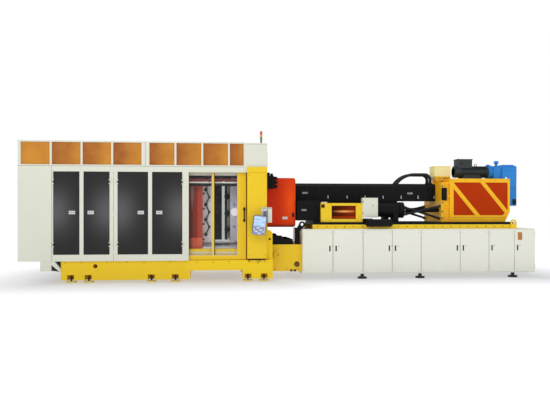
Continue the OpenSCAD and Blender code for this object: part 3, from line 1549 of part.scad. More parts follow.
module hoses() color(black) place() both_sides() {
  y = -cover_w / 2 + cover_chamfer + hose_r + 8;
  z = cover_top + arch_rise;
  intersection() {
    hose_arc(arch_x, y, z - arch_r, arch_r, 90, 170);
    block([arch_x - arch_r, y - 100, cover_top], [arch_x, y + 100, z + 2 * hose_r]);
  }
  bar_x(arch_x, arch_x + arch_level, y, z, hose_r);
  hose_arc(arch_x + arch_level, y, z - drop_r, drop_r, 0, 90);
  translate([arch_x + arch_level + drop_r, y, cover_top]) {
    cylinder(h = arch_rise - drop_r, r = hose_r);
    cylinder(h = 45, r = hose_r + 10);
  }
  slanted_hose(-cylinder_y - 105, cylinder_z + 80, runner_z1 + 90);
  slanted_hose(-cylinder_y - 155, cylinder_z - 120, cylinder_z + 110);
}

// A hose bend in a plane of constant Y, from angle a0 to angle a1 over the level.
module hose_arc(x, y, z, bend_r, a0, a1) translate([x, y, z]) rotate([90, 0, 0]) rotate([0, 0, a0])
  rotate_extrude(angle = a1 - a0) translate([bend_r, 0]) circle(hose_r);

// A hose from the cylinder's end face to the feed casting, in a plane of constant Y.
module slanted_hose(y, z0, z1) {
  run = cover_x1 - cylinder_x1;
  intersection() {
    translate([cylinder_x1, y, z0]) rotate([0, 90 - atan2(z1 - z0, run), 0]) translate([0, 0, -200])
      cylinder(h = norm([run, z1 - z0]) + 400, r = small_hose_r);
    block([cylinder_x1, y - 100, z0 - 1000], [cover_x1, y + 100, z0 + 1000]);
  }
}

clamp_bed();
bed_feet();
tail_bracket();
housing_posts();
housing_rails();
tail_side_panels();
tail_end_wall();
upper_guards();
upper_panes();
roof_ties();
rear_dark_panels();
rear_gate();
rear_gate_panes();
columns();
column_top_boxes();
signal_lamp();
panel_arm();
fixed_platen();
fixed_mould();
tie_bars();
platen_valves();
nozzle_guard();
link_frame();
purge_tray();
base_plates();
base_uprights();
base_pads();
slide_rails();
gate_frame();
gate_panes();
gate_handle();
clamp_door_1();
clamp_door_2();
clamp_door_3();
clamp_door_4();
moving_platen();
moving_mould();
control_panel();
base_door_1();
base_door_2();
base_door_3();
base_door_4();
base_door_5();
base_door_6();
base_door_7();
base_door_8();
barrel();
barrel_cover();
hydraulic_cylinders();
carriage_runners();
cylinder_guard();
carriage_panes();
junction_box();
feed_casting();
hopper();
drive_guard();
screw_motor();
gearbox();
hoses();
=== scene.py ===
import math
from itertools import product

import bmesh
import bpy
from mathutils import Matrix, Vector


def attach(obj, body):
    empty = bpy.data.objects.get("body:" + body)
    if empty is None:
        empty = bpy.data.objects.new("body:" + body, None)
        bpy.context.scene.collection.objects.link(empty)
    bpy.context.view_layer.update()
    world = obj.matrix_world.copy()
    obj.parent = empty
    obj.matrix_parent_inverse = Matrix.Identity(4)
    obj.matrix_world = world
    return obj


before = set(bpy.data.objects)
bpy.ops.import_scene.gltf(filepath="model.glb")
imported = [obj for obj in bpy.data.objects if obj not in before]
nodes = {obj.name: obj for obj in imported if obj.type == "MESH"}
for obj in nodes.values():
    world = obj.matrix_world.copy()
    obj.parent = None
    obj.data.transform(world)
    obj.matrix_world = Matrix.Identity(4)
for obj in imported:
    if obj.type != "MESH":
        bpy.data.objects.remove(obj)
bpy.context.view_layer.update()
print("stage: frame loaded,", len(nodes), "nodes")

# Lengths run from the clamp's tail and heights from the floor, in millimetres, as in the part's source.
place = {"halfLength": 6650, "axisY": 130}


def at(x, y, z):
    return Vector(((x - place["halfLength"]) / 1000, (y + place["axisY"]) / 1000, z / 1000))


def alongX(x):
    return at(x, 0, 0).x


class Link:
    # A shader socket with arithmetic. node() makes any other node; a Link with no socket makes the first one.
    def __init__(self, tree, socket=None):
        self.tree = tree
        self.socket = socket

    def node(self, kind, inputs=None, output=0, **settings):
        made = self.tree.nodes.new("ShaderNode" + kind)
        for key, value in settings.items():
            setattr(made, key, value)
        for key, value in (inputs or {}).items():
            if isinstance(value, Link):
                self.tree.links.new(value.socket, made.inputs[key])
            else:
                made.inputs[key].default_value = value
        return Link(self.tree, made.outputs[output])

    def math(self, operation, first, second=0.0):
        return self.node("Math", {0: first, 1: second}, operation=operation)

    def __add__(self, other):
        return self.math("ADD", self, other)

    __radd__ = __add__

    def __sub__(self, other):
        return self.math("SUBTRACT", self, other)

    def __rsub__(self, other):
        return self.math("SUBTRACT", other, self)

    def __mul__(self, other):
        return self.math("MULTIPLY", self, other)

    __rmul__ = __mul__

    def __truediv__(self, other):
        return self.math("DIVIDE", self, other)

    def __pow__(self, other):
        return self.math("POWER", self, other)

    def axis(self, index):
        return self.node("SeparateXYZ", {0: self}, output=index)

    def clamped(self):
        return self.node("Clamp", {0: self, 1: 0.0, 2: 1.0})

    def ramp(self, low, high):
        return ((self - low) / (high - low)).clamped()

    def noise(self, scale, detail=2.0, stretch=(1.0, 1.0, 1.0)):
        spot = self.node("Mapping", {0: self, 3: stretch})
        return self.node("TexNoise", {"Vector": spot, "Scale": scale, "Detail": detail})

    def mixed(self, other, amount):
        return self.node("Mix", {0: amount, 6: self, 7: other}, output=2, data_type="RGBA")

    # A colour from low at 0 to high at 1.
    def between(self, low, high):
        return self.node("Mix", {0: self, 6: rgba(low), 7: rgba(high)}, output=2, data_type="RGBA")


def rgba(color):
    return (*color, 1.0)


# Builds a material; recipe gets the object's coordinates and returns the shader's varied inputs by name.
def material(name, recipe, specular=0.5, **constants):
    made = bpy.data.materials.new(name)
    made.use_nodes = True
    tree = made.node_tree
    shader = tree.nodes["Principled BSDF"]
    spot = Link(tree).node("TexCoord", output="Object")
    for key, value in {"Specular IOR Level": specular, **constants}.items():
        shader.inputs[key].default_value = value
    for key, value in recipe(spot).items():
        tree.links.new(value.socket, shader.inputs[key])
    return made


hairline = 0.001  # width of a sharp change of colour, in metres


# A colour that wanders a little to both sides.
def tone(spot, color, amount):
    dark, light = [c * (1 - amount) for c in color], [min(1, c * (1 + amount)) for c in color]
    return spot.noise(1.3, 3.0).between(dark, light)


# A soft long spot of light; x is in tail millimetres, the rest in metres.
def lightSpot(spot, x, z, w, h):
    along, over = (spot.axis(0) - alongX(x)) / w, (spot.axis(2) - z) / h
    return spot.math("EXPONENT", 0.0 - along * along - over * over)


paintValues = dict(
    tone=0.03, peelScale=160.0, peel=0.06, peelDepth=0.002, dust=(0.42, 0.4, 0.36), dustTop=0.55,
    dustAmount=0.16, patchScale=7.0, patch=0.12, coatRough=0.2,
)


# The fine orange peel of sprayed paint.
def peel(spot, strength):
    height = spot.noise(paintValues["peelScale"], 1.0)
    return spot.node("Bump", {"Height": height, "Strength": strength, "Distance": paintValues["peelDepth"]})


# A roughness that differs from patch to patch.
def uneven(spot, rough, scale=paintValues["patchScale"], amount=paintValues["patch"]):
    return rough + (spot.noise(scale, 3.0) - 0.5) * amount


# What varies over a sprayed surface.
def sprayed(spot, base, rough, strength):
    return {"Base Color": base, "Roughness": uneven(spot, rough), "Normal": peel(spot, strength)}


# Sprayed paint, dusty near the floor.
def paint(name, color, rough=0.38, coat=0.06, specular=0.25, glow=0.0):
    def recipe(spot):
        low = 1.0 - spot.axis(2).ramp(0.0, paintValues["dustTop"])
        grime = low * spot.noise(5.0, 5.0) * paintValues["dustAmount"]
        base = tone(spot, color, paintValues["tone"]).mixed(rgba(paintValues["dust"]), grime)
        return {"Base Color": base, "Roughness": uneven(spot, rough) + grime, "Normal": peel(spot, paintValues["peel"])}

    constants = {"Coat Weight": coat, "Coat Roughness": paintValues["coatRough"], "Emission Strength": glow}
    return material(name, recipe, specular, **constants)


paneValues = dict(rough=0.14, smear=0.08, haze=0.05)


# A tinted sheet; shade(spot) runs from the deep colour at 0 to the clear one at 1, and glow, when given, paints a
# highlight spot of its own colour.
def tintedPane(name, color, deep, alpha, shade, specular=0.2, glow=None):
    def recipe(spot):
        base = shade(spot).clamped().between(deep, color)
        if glow:
            base = base.mixed(rgba(glow["color"]), lightSpot(spot, **glow["spot"]).clamped())
        return {
            "Base Color": base,
            "Roughness": paneValues["rough"] + spot.noise(3.0) * paneValues["smear"],
            "Alpha": alpha + (spot.noise(2.0) - 0.5) * paneValues["haze"],
        }

    return material(name, recipe, specular)


def plainShade(spot):
    return spot.noise(1.1)


amberValues = dict(
    left=(40, 0.742), right=(3110, 0.671), joint=3040, across=0.95, cloud=1.3,
    spot=60, spotW=0.45, light=0.8,
)


# Each amber window is painted brown at its left and orange at its right, as painted shade and light, with soft clouds
# and a painted highlight on the first window.
def amberShade(spot):
    v, x = amberValues, spot.axis(0)

    def along(start, step):
        return spot.math("FRACT", (x - alongX(start)) / step)

    left, right, joint = along(*v["left"]), along(*v["right"]), alongX(v["joint"])
    across = left + (right - left) * x.ramp(joint, joint + hairline)
    # off and light place the painted highlight on the first window.
    off = (x - alongX(v["spot"])) / v["spotW"]
    clouds = (spot.noise(2.3) - 0.5) * v["cloud"]
    return across * v["across"] + clouds + v["light"] * spot.math("EXPONENT", 0.0 - off * off)


rustValues = dict(
    guardEnd=9000, streakX=(7850, 8330), streakZ=1.76, streakH=0.06, streak=0.22,
    edgeZ=1.6, edgeH=0.04, edge=0.3, window=0.16, drive=0.42, cloud=0.12,
    glow={"color": (1.0, 0.46, 0.12), "spot": {"x": 8150, "w": 0.21, "z": 1.762, "h": 0.022}},
)


# The drive guard's panes are even; the cylinder guard's is dark with painted light: a bright streak, a lit lower edge
# and a window that grows lighter to the right, and rustValues' glow paints a gold highlight in the streak.
def rustShade(spot):
    v, x, z = rustValues, spot.axis(0), spot.axis(2)

    def streak(height, half):
        off = (z - height) / half
        return (1.0 - off * off).clamped()

    window, guardEnd = x.ramp(*(alongX(end) for end in v["streakX"])), alongX(v["guardEnd"])
    lit = streak(v["streakZ"], v["streakH"]) * window * v["streak"]
    lit = lit + streak(v["edgeZ"], v["edgeH"]) * v["edge"] + window * v["window"]
    even = v["drive"] + plainShade(spot) * v["cloud"]
    return lit + (even - lit) * x.ramp(guardEnd, guardEnd + hairline)


metalValues = dict(
    tone=0.08, brush=(1.0, 30.0, 30.0), grain=0.2, bump=0.08, depth=0.001, stain=0.1,
)


# Metal brushed along the machine.
def metal(name, color, rough=0.3, metallic=0.9):
    def recipe(spot):
        v = metalValues
        grain = spot.noise(6.0, 4.0, v["brush"])
        return {
            "Base Color": tone(spot, color, v["tone"]),
            "Roughness": rough + (grain - 0.5) * v["grain"],
            "Metallic": metallic - spot.noise(9.0) * v["stain"],
            "Normal": spot.node("Bump", {"Height": grain, "Strength": v["bump"], "Distance": v["depth"]}),
        }

    return material(name, recipe)


rubberValues = dict(tone=0.15, bump=0.15, depth=0.001, rough=0.55, patch=0.2, specular=0.3)


def rubber(name, color):
    def recipe(spot):
        v = rubberValues
        grain = spot.noise(220.0)
        return {
            "Base Color": tone(spot, color, v["tone"]),
            "Roughness": v["rough"] + spot.noise(14.0) * v["patch"],
            "Normal": spot.node("Bump", {"Height": grain, "Strength": v["bump"], "Distance": v["depth"]}),
        }

    return material(name, recipe, rubberValues["specular"])


doorValues = dict(
    color=(0.0085, 0.0083, 0.009), tone=0.05, rough=0.4, patchScale=3.0, patch=0.1, peel=0.04,
    lightX=(860, 2160, 2390, 3925), light={"z": 1.77, "w": 0.41, "h": 0.51}, amount=0.09,
    lightColor=(1.0, 1.0, 1.05),
    specular=0.3, coat={"Coat Weight": 0.1, "Coat Roughness": 0.25},
)


# The dark doors, with a soft light patch near the outer edge of each pair, as from a window behind the viewer.
def doorRecipe(spot):
    v = doorValues
    light, *others = [lightSpot(spot, x, **v["light"]) for x in v["lightX"]]
    for other in others:
        light = spot.math("MAXIMUM", light, other)
    base = tone(spot, v["color"], v["tone"]).mixed(rgba(v["lightColor"]), light * v["amount"])
    rough = uneven(spot, v["rough"], v["patchScale"], v["patch"])
    return {"Base Color": base, "Roughness": rough, "Normal": peel(spot, v["peel"])}


mouldValues = dict(
    steps=(4680, 4960, 5055, 5140),
    tones=((0.88, 0.93, 1.0), (0.012, 0.014, 0.018), (0.016, 0.02, 0.02), (0.22, 0.29, 0.25), (0.7, 0.75, 0.88)),
    tone=0.12, rough=0.42, patch=0.2, metal=0.3, stain=0.2, specular=0.2,
)


# Mould plates of several tones along the machine.
def mouldRecipe(spot):
    v, x = mouldValues, spot.axis(0)
    base = tone(spot, v["tones"][0], v["tone"])
    for step, color in zip(v["steps"], v["tones"][1:]):
        edge = alongX(step)
        base = base.mixed(rgba(color), x.ramp(edge - hairline, edge + hairline))
    return {
        "Base Color": base,
        "Roughness": v["rough"] + spot.noise(9.0, 4.0) * v["patch"],
        "Metallic": v["metal"] + spot.noise(4.0) * v["stain"],
    }


platenValues = dict(
    color=(0.6, 0.066, 0.034), tone=0.06, shadeX=(4080, 4330), dark=(0.1, 0.03, 0.027), darkTone=0.08,
    band=(0.95, 0.2, 0.11), bandZ=(1.08, 1.09), bandFade=0.1, shine=(0.5, 0.33, 0.33), shineAmount=0.6,
    shineX=4165, shineW=0.05, shineZ=2.3, shineH=0.55, rough=0.5, peel=0.05, specular=0.2,
)


# Platen paint with painted shade that darkens it into the housing, a band of painted light along its foot and an
# upright painted highlight.
def platenRecipe(spot):
    v, x, z = platenValues, spot.axis(0), spot.axis(2)
    near, far = (alongX(end) for end in v["shadeX"])
    base = tone(spot, v["dark"], v["darkTone"]).mixed(tone(spot, v["color"], v["tone"]), x.ramp(near, far))
    side, over = (x - alongX(v["shineX"])) / v["shineW"], (z - v["shineZ"]) / v["shineH"]
    base = base.mixed(rgba(v["shine"]), (1.0 - side * side - over * over).clamped() * v["shineAmount"])
    # The foot's band of painted light, below bandZ.
    foot = (1.0 - z.ramp(*v["bandZ"])) * x.ramp(near, near + v["bandFade"])
    base = base.mixed(rgba(v["band"]), foot)
    return sprayed(spot, base, v["rough"], v["peel"])


guardValues = dict(
    color=(0.72, 0.038, 0.004), tone=0.06, shine=(1.0, 0.105, 0.006), amount=0.8,
    spot={"x": 6750, "w": 0.19, "z": 1.95, "h": 0.55}, edge=(0.09, 0.01, 0.006), edgeZ=(1.36, 1.43),
    rough=0.45, peel=0.05, specular=0.12,
)


# Guard paint with a soft shine near its right side and a dark lower edge.
def guardRecipe(spot):
    v = guardValues
    base = tone(spot, v["color"], v["tone"]).mixed(rgba(v["shine"]), lightSpot(spot, **v["spot"]) * v["amount"])
    base = base.mixed(rgba(v["edge"]), 1.0 - spot.axis(2).ramp(*v["edgeZ"]))
    return sprayed(spot, base, v["rough"], v["peel"])


twoValues = dict(tone=0.05, peel=0.05, specular=0.25)


# Paint of one colour up to an edge along an axis and another past it.
def twoPaints(name, edge, low, high, rough=0.42, axis=2, blend=0.002):
    def recipe(spot):
        past = spot.axis(axis).ramp(edge, edge + blend)
        base = tone(spot, low, twoValues["tone"]).mixed(tone(spot, high, twoValues["tone"]), past)
        return sprayed(spot, base, rough, twoValues["peel"])

    return material(name, recipe, twoValues["specular"])


lampValues = dict(
    foot=(0.02, 0.025, 0.022), low=(0.03, 0.32, 0.1), mid=(0.8, 0.3, 0.03), high=(0.72, 0.03, 0.02),
    edges=((3.556, 3.56), (3.63, 3.634), (3.704, 3.708)), rough=0.2, patch=0.1, coat=0.5,
)


# The lamp's three lenses, told apart by height.
def lampRecipe(spot):
    v = lampValues
    first, second, third = (spot.axis(2).ramp(*edge) for edge in v["edges"])
    lens = second.between(v["low"], v["mid"]).mixed(rgba(v["high"]), third)
    lens = lens.mixed(rgba(v["foot"]), 1.0 - first)
    return {"Base Color": lens, "Roughness": v["rough"] + spot.noise(30.0) * v["patch"]}


screenValues = dict(
    rows=26.0, rowEdge=(0.42, 0.48), barStretch=(1.0, 1.0, 9.0), barEdge=(0.48, 0.5),
    back=(0.5, 0.68, 0.9), bar=(0.2, 0.36, 0.66), rough=0.15, patch=0.05, glow=0.25,
)


# A lit screen with rows of bars.
def screenRecipe(spot):
    v = screenValues
    row = spot.math("FRACT", spot.axis(2) * v["rows"]).ramp(*v["rowEdge"])
    bar = spot.noise(9.0, 0.0, v["barStretch"]).ramp(*v["barEdge"])
    base = (row * bar).between(v["back"], v["bar"])
    rough = v["rough"] + spot.noise(20.0) * v["patch"]
    return {"Base Color": base, "Emission Color": base, "Roughness": rough}


yellowColor, paleColor = (0.91, 0.615, 0.017), (0.97, 0.86, 0.36)
white = paint("whitePaint", (0.765, 0.775, 0.665))
# A lighter copy of the white paint for the base: painted light, as the base is lit more brightly than the housing.
litBaseWhite = paint("baseWhitePaint", (0.86, 0.86, 0.76))
yellow = paint("yellowPaint", yellowColor, rough=0.42)
black = paint("blackPaint", (0.0055, 0.006, 0.007), rough=0.55, coat=0.0, specular=0.13)
doorBlack = material("doorPaint", doorRecipe, doorValues["specular"], **doorValues["coat"])
guardRed = material("guardPaint", guardRecipe, guardValues["specular"])
platenRed = material("platenPaint", platenRecipe, platenValues["specular"])
blue = paint("bluePaint", (0.028, 0.26, 0.74), rough=0.42, specular=0.15)
pale = paint("paleYellowPaint", paleColor, rough=0.4)
yellowDeep = paint("deepYellowPaint", (0.95, 0.5, 0.008), rough=0.42, specular=0.2)
paleRib = paint("paleRib", (0.95, 0.86, 0.52))
# A paler copy of the yellow paint for the link frame's ring lug: a painted highlight.
highlightYellow = paint("highlightYellow", (0.98, 0.74, 0.16), rough=0.45)
rustBrown = paint("rustBrown", (0.13, 0.045, 0.012), rough=0.6, coat=0.0)
# Painted light: the bed's one yellow grows lighter past 3900 mm from the tail.
bedYellow = twoPaints("bedPaint", alongX(3900), yellowColor, (1.0, 0.68, 0.014), axis=0, blend=0.4)
hopperPaint = twoPaints("hopperPaint", 2.735, (0.8, 0.48, 0.02), paleColor)
footPaint = twoPaints("footPaint", 0.046, (0.78, 0.62, 0.2), (0.06, 0.03, 0.022), rough=0.6)
slate = paint("slatePaint", (0.02, 0.03, 0.033), rough=0.45, coat=0.1, specular=0.3)
steel = metal("groundSteel", (0.52, 0.53, 0.55))
mouldSteel = material("mouldSteel", mouldRecipe, mouldValues["specular"])
mouldKnob = metal("mouldKnob", (0.035, 0.05, 0.045), rough=0.5, metallic=0.5)
darkSteel = metal("darkSteel", (0.09, 0.09, 0.095), rough=0.45, metallic=0.8)
mirrorSteel = metal("brightSteel", (0.8, 0.8, 0.8), rough=0.2)
aluminium = metal("aluminium", (0.72, 0.72, 0.7), rough=0.4)
amber = tintedPane("amberPane", (0.7, 0.3, 0.042), (0.4, 0.12, 0.026), 0.94, amberShade)
# The cylinder guard's pane carries painted light: a streak, a lit edge and a gold painted highlight.
rust = tintedPane("rustPane", (0.95, 0.075, 0.004), (0.045, 0.006, 0.001), 0.985, rustShade, 0.06, rustValues["glow"])
clear = tintedPane("clearPane", (0.3, 0.34, 0.33), (0.25, 0.28, 0.27), 0.03, plainShade)
smoked = tintedPane("smokedPane", (0.1, 0.1, 0.105), (0.07, 0.07, 0.075), 0.32, plainShade)
hoseRubber = rubber("hoseRubber", (0.012, 0.012, 0.013))
rubberBlack = rubber("rubberBlack", (0.008, 0.008, 0.009))
plastic = paint("panelPlastic", (0.16, 0.19, 0.24), rough=0.5, coat=0.0)
greyPlastic = paint("greyPlastic", (0.35, 0.36, 0.36), rough=0.5, coat=0.0)
blackPlastic = paint("blackPlastic", (0.01, 0.01, 0.011), rough=0.45, coat=0.0)
seamDark = paint("seamDark", (0.22, 0.22, 0.2), rough=0.7, coat=0.0)
whiteTrim = paint("whiteTrim", (0.72, 0.73, 0.65), rough=0.45)
yellowTrim = paint("yellowTrim", (0.7, 0.44, 0.02), rough=0.45)
yellowShade = paint("yellowShade", (0.5, 0.3, 0.012), rough=0.6, coat=0.0)
redTrim = paint("redTrim", (0.42, 0.035, 0.01), rough=0.45)
blueTrim = paint("blueTrim", (0.035, 0.17, 0.44), rough=0.4)
slateTrim = paint("slateTrim", (0.03, 0.04, 0.043), rough=0.45)
maroonPaint = paint("maroonPaint", (0.2, 0.03, 0.025), rough=0.5)
orangePlate = paint("orangePlate", (0.5, 0.2, 0.06), rough=0.5, coat=0.0)
lightPlate = paint("lightPlate", (0.68, 0.69, 0.66), rough=0.4)
# A white plate that glows, though it is no lamp: painted light.
paintedGlowPlate = paint("paintedGlowPlate", (0.9, 0.93, 1.0), rough=0.4, glow=0.3)
greyPlate = paint("greyPlate", (0.3, 0.31, 0.31), rough=0.4, coat=0.0)
bezelBlue = paint("bezelBlue", (0.5, 0.58, 0.72), rough=0.45, coat=0.0)
keyGrey = paint("keyGrey", (0.78, 0.8, 0.84), rough=0.5, coat=0.0)
keyBlue = paint("keyBlue", (0.11, 0.24, 0.55), rough=0.5, coat=0.0)
lensRed = paint("lensRed", (0.62, 0.04, 0.03), rough=0.3)
screenGlass = material("screenGlass", screenRecipe, **{"Emission Strength": screenValues["glow"]})
lens = material("lampLens", lampRecipe, **{"Coat Weight": lampValues["coat"]})
print("stage: materials made")

looks = {
    white: """tail_bracket housing_posts housing_rails tail_side_panels tail_end_wall upper_guards roof_ties
        column_top_boxes panel_arm junction_box""",
    litBaseWhite: "base_plates base_uprights " + " ".join(f"base_door_{i + 1}" for i in range(8)),
    doorBlack: "clamp_door_1 clamp_door_2 clamp_door_3 clamp_door_4 rear_dark_panels",
    bedYellow: "clamp_bed",
    yellow: "columns rear_gate gate_frame link_frame slide_rails cylinder_guard",
    yellowDeep: "feed_casting drive_guard",
    black: "platen_valves purge_tray base_pads gate_handle barrel_cover hydraulic_cylinders carriage_runners",
    slate: "screw_motor",
    guardRed: "nozzle_guard",
    platenRed: "fixed_platen moving_platen",
    steel: "tie_bars barrel",
    footPaint: "bed_feet",
    mouldSteel: "fixed_mould moving_mould",
    blue: "gearbox",
    hopperPaint: "hopper",
    amber: "upper_panes",
    rust: "carriage_panes",
    clear: "gate_panes",
    smoked: "rear_gate_panes",
    hoseRubber: "hoses",
    plastic: "control_panel",
    lens: "signal_lamp",
}
for look, names in looks.items():
    for name in names.split():
        for slot in nodes[name].material_slots:
            slot.link = "OBJECT"
            slot.material = look


def softenEdges(piece, width, angle):
    edge = piece.modifiers.new("edge", "BEVEL")
    edge.width = width
    edge.segments = 2
    edge.limit_method = "ANGLE"
    edge.angle_limit = math.radians(angle)


edgeValues = dict(node=0.006, nodeAngle=35, pieceAngle=40, sharpAngle=32, sleeve=0.009)
noBevel = "upper_panes gate_panes rear_gate_panes carriage_panes hoses tie_bars barrel".split()
for name, piece in nodes.items():
    if name not in noBevel:
        softenEdges(piece, edgeValues["node"], edgeValues["nodeAngle"])
sleeve = nodes["hoses"].modifiers.new("sleeve", "DISPLACE")
sleeve.strength = edgeValues["sleeve"]
sleeve.mid_level = 0.0
print("stage: frame dressed")


front, up, right = Vector((0, -1, 0)), Vector((0, 0, 1)), Vector((1, 0, 0))


def ringPoints(centre, side, over, radius, sides, phase=0.0):
    turns = [2 * math.pi * (i + phase) / sides for i in range(sides)]
    return [centre + (side * math.cos(a) + over * math.sin(a)) * radius for a in turns]


class Form:
    # Collects shapes in one mesh. Corners and points are tail-end millimetres, unless turn places them.
    def __init__(self, turn=None):
        self.mesh = bmesh.new()
        self.turn = turn

    def point(self, spot):
        return self.turn(spot) if self.turn else at(*spot)

    def faces(self, points, rings):
        made = [self.mesh.verts.new(self.point(p)) for p in points]
        for ring in rings:
            self.mesh.faces.new([made[i] for i in ring])
        return self

    # A box between two corners, moved by shift.
    def box(self, low, high, shift=(0, 0, 0)):
        points = [[c + s for c, s in zip(corner, shift)] for corner in product(*zip(low, high))]
        rings = [(0, 1, 3, 2), (4, 6, 7, 5), (0, 4, 5, 1), (2, 3, 7, 6), (0, 2, 6, 4), (1, 5, 7, 3)]
        return self.faces(points, rings)

    def boxes(self, pairs, shift=(0, 0, 0)):
        for low, high in pairs:
            self.box(low, high, shift)
        return self

    # Side faces between rings of points, with a cap at each end.
    def skin(self, points, sides):
        last, rings = len(points) - sides, []
        for first in range(0, last, sides):
            for i in range(sides):
                j = (i + 1) % sides
                rings.append((first + i, first + j, first + sides + j, first + sides + i))
        rings.append(tuple(range(sides - 1, -1, -1)))
        rings.append(tuple(range(last, len(points))))
        return self.faces(points, rings)

    # A body of revolution about the line from start along way; outline holds (distance, radius) pairs.
    def lathe(self, start, way, outline, sides):
        start, way = Vector(start), Vector(way).normalized()
        side = way.orthogonal().normalized()
        points = []
        for along, radius in outline:
            points += ringPoints(start + way * along, side, way.cross(side), radius, sides, 0.5)
        return self.skin(points, sides)

    # A hexagon head on a washer, standing on the surface at spot.
    def bolt(self, spot, way, size):
        self.lathe(spot, way, [(0, size * 0.72), (size * 0.12, size * 0.72)], 16)
        head = [(size * 0.11, size * 0.55), (size * 0.42, size * 0.55), (size * 0.5, size * 0.42)]
        return self.lathe(spot, way, head, 6)

    # Bolts or turned shapes at every crossing of the columns and rows.
    def boltGrid(self, columns, y, rows, size):
        for x, z in product(columns, rows):
            self.bolt((x, y, z), front, size)
        return self

    def latheGrid(self, columns, y, rows, outline, sides, way=front):
        for x, z in product(columns, rows):
            self.lathe((x, y, z), way, outline, sides)
        return self

    def tube(self, path, radius, sides=12):
        spots, points, side = [Vector(p) for p in path], [], None
        for k, spot in enumerate(spots):
            way = (spots[min(k + 1, len(spots) - 1)] - spots[max(k - 1, 0)]).normalized()
            side = way.orthogonal().normalized() if side is None else (side - way * side.dot(way)).normalized()
            points += ringPoints(spot, side, way.cross(side), radius, sides)
        return self.skin(points, sides)

    def done(self, name, look, body, slot, bevel=0.0):
        bmesh.ops.recalc_face_normals(self.mesh, faces=self.mesh.faces[:])
        for face in self.mesh.faces:
            face.smooth = True
        data = bpy.data.meshes.new(name)
        self.mesh.to_mesh(data)
        self.mesh.free()
        data.set_sharp_from_angle(angle=math.radians(edgeValues["sharpAngle"]))
        data.materials.append(look)
        piece = bpy.data.objects.new(name, data)
        bpy.context.collection.objects.link(piece)
        if bevel:
            softenEdges(piece, bevel, edgeValues["pieceAngle"])
        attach(piece, body)


# Points round an upright circle that faces the front.
def circle(x, y, z, radius, steps):
    turns = [2 * math.pi * k / steps for k in range(steps + 1)]
    return [(x + radius * math.cos(a), y, z + radius * math.sin(a)) for a in turns]


# Points of a hose that bows out to the front between two spots.
def bowed(start, end, y, bow, steps=10):
    (x0, z0), (x1, z1) = start, end
    shares = [t / steps for t in range(steps + 1)]
    return [(x0 + (x1 - x0) * t, y - bow * math.sin(math.pi * t), z0 + (z1 - z0) * t) for t in shares]


latchValues = dict(
    leaves=((835, 625), (1555, 625), (2370, 740), (3205, 740)), inset=176, face=-1464, z=1732.5,
    plate=((-75, -5, -42), (75, 14, 42)), lever=((-61, -13, -12), (23, -5, 14)),
    lock=(47, -4), lockShape=[(0, 17), (7, 17), (9, 13)],
)


# A light latch plate with a lever and a lock on each dark door.
def doorLatches():
    v = latchValues
    for i, (x0, w) in enumerate(v["leaves"]):
        x = x0 + w - v["inset"] if i % 2 == 0 else x0 + v["inset"]
        spot, body = (x, v["face"], v["z"]), f"clamp_door_{i + 1}_body"
        Form().box(*v["plate"], spot).done(f"latchPlate{i + 1}", lightPlate, body, "white_paint", 0.003)
        lever = Form().box(*v["lever"], spot)
        lever.lathe((x + v["lock"][0], v["face"] + v["lock"][1], v["z"]), front, v["lockShape"], 18)
        lever.done(f"latchLever{i + 1}", steel, body, "ground_steel", 0.002)


seamValues = dict(
    face=-1450, half=3.5, proud=1.5, sunk=4, levelX=(2, 5478), levelZ=2870,
    uprights=((800, 545, 2868), (3045, 2874, 3488), (2275, 545, 2732)),
    clipX=(818, 2275), clipZ=(760, 1690, 2640), clip=((-9, -6, -45), (9, 4, 45)),
    screws=((30, 770), -1450.5, (640, 1240, 1840, 2440), [(0, 11), (3, 11), (5, 7)], 14),
)


# Dark joint lines between the panels of the housing and the upper guard, with clips and screws.
def panelSeams():
    v = seamValues
    y, half, (x0, x1), z = v["face"], v["half"], v["levelX"], v["levelZ"]
    near, far = y - v["proud"], y + v["sunk"]
    seams = Form().box((x0, near, z - half), (x1, far, z + half))
    for x, low, high in v["uprights"]:
        seams.box((x - half, near, low), (x + half, far, high))
    seams.done("panelSeams", seamDark, "machine", "black_rubber")
    clips = Form()
    for x, z in product(v["clipX"], v["clipZ"]):
        clips.box(*v["clip"], (x, y, z))
    clips.latheGrid(*v["screws"])
    clips.done("housingClips", whiteTrim, "machine", "white_paint", 0.002)


gateValues = dict(
    panes=((4090, 4681.5), (4727.5, 5319)), paneZ=(653, 2735), beadW=16, beadY=(-1323, -1305),
    seal=((5521, -1325, 560), (5537, -1285, 2770)), handleX=5480, handleZ=1680,
    knobY=-1375, knobUp=154, knob=[(0, 15), (4, 24), (20, 24), (27, 16)],
    footY=-1334.5, footUp=140, foot=[(0, 30), (6, 30), (9, 24)],
)


# Glazing beads, gaskets, the gate's rubber edge and the handle's end knobs and feet.
def gateTrim():
    v = gateValues
    (near, far), (z0, z1), w = v["beadY"], v["paneZ"], v["beadW"]
    beads, gaskets = Form(), Form()
    for x0, x1 in v["panes"]:
        beads.box((x0, near, z0), (x1, far, z0 + w))
        beads.box((x0, near, z1 - w), (x1, far, z1))
        beads.box((x1 - w, near, z0 + w), (x1, far, z1 - w))
        gaskets.box((x0, near, z0 + w), (x0 + w, far, z1 - w))
    beads.done("gateBeads", aluminium, "gate", "ground_steel", 0.002)
    gaskets.done("gateGaskets", rubberBlack, "gate", "black_rubber", 0.002)
    Form().box(*v["seal"]).done("gateSeal", rubberBlack, "gate", "black_rubber", 0.004)
    knobs = Form()
    for way in (-up, up):
        knobs.lathe((v["handleX"], v["knobY"], v["handleZ"] + way.z * v["knobUp"]), way, v["knob"], 18)
        knobs.lathe((v["handleX"], v["footY"], v["handleZ"] + way.z * v["footUp"]), front, v["foot"], 18)
    knobs.done("gateKnobs", blackPlastic, "gate", "black_paint")


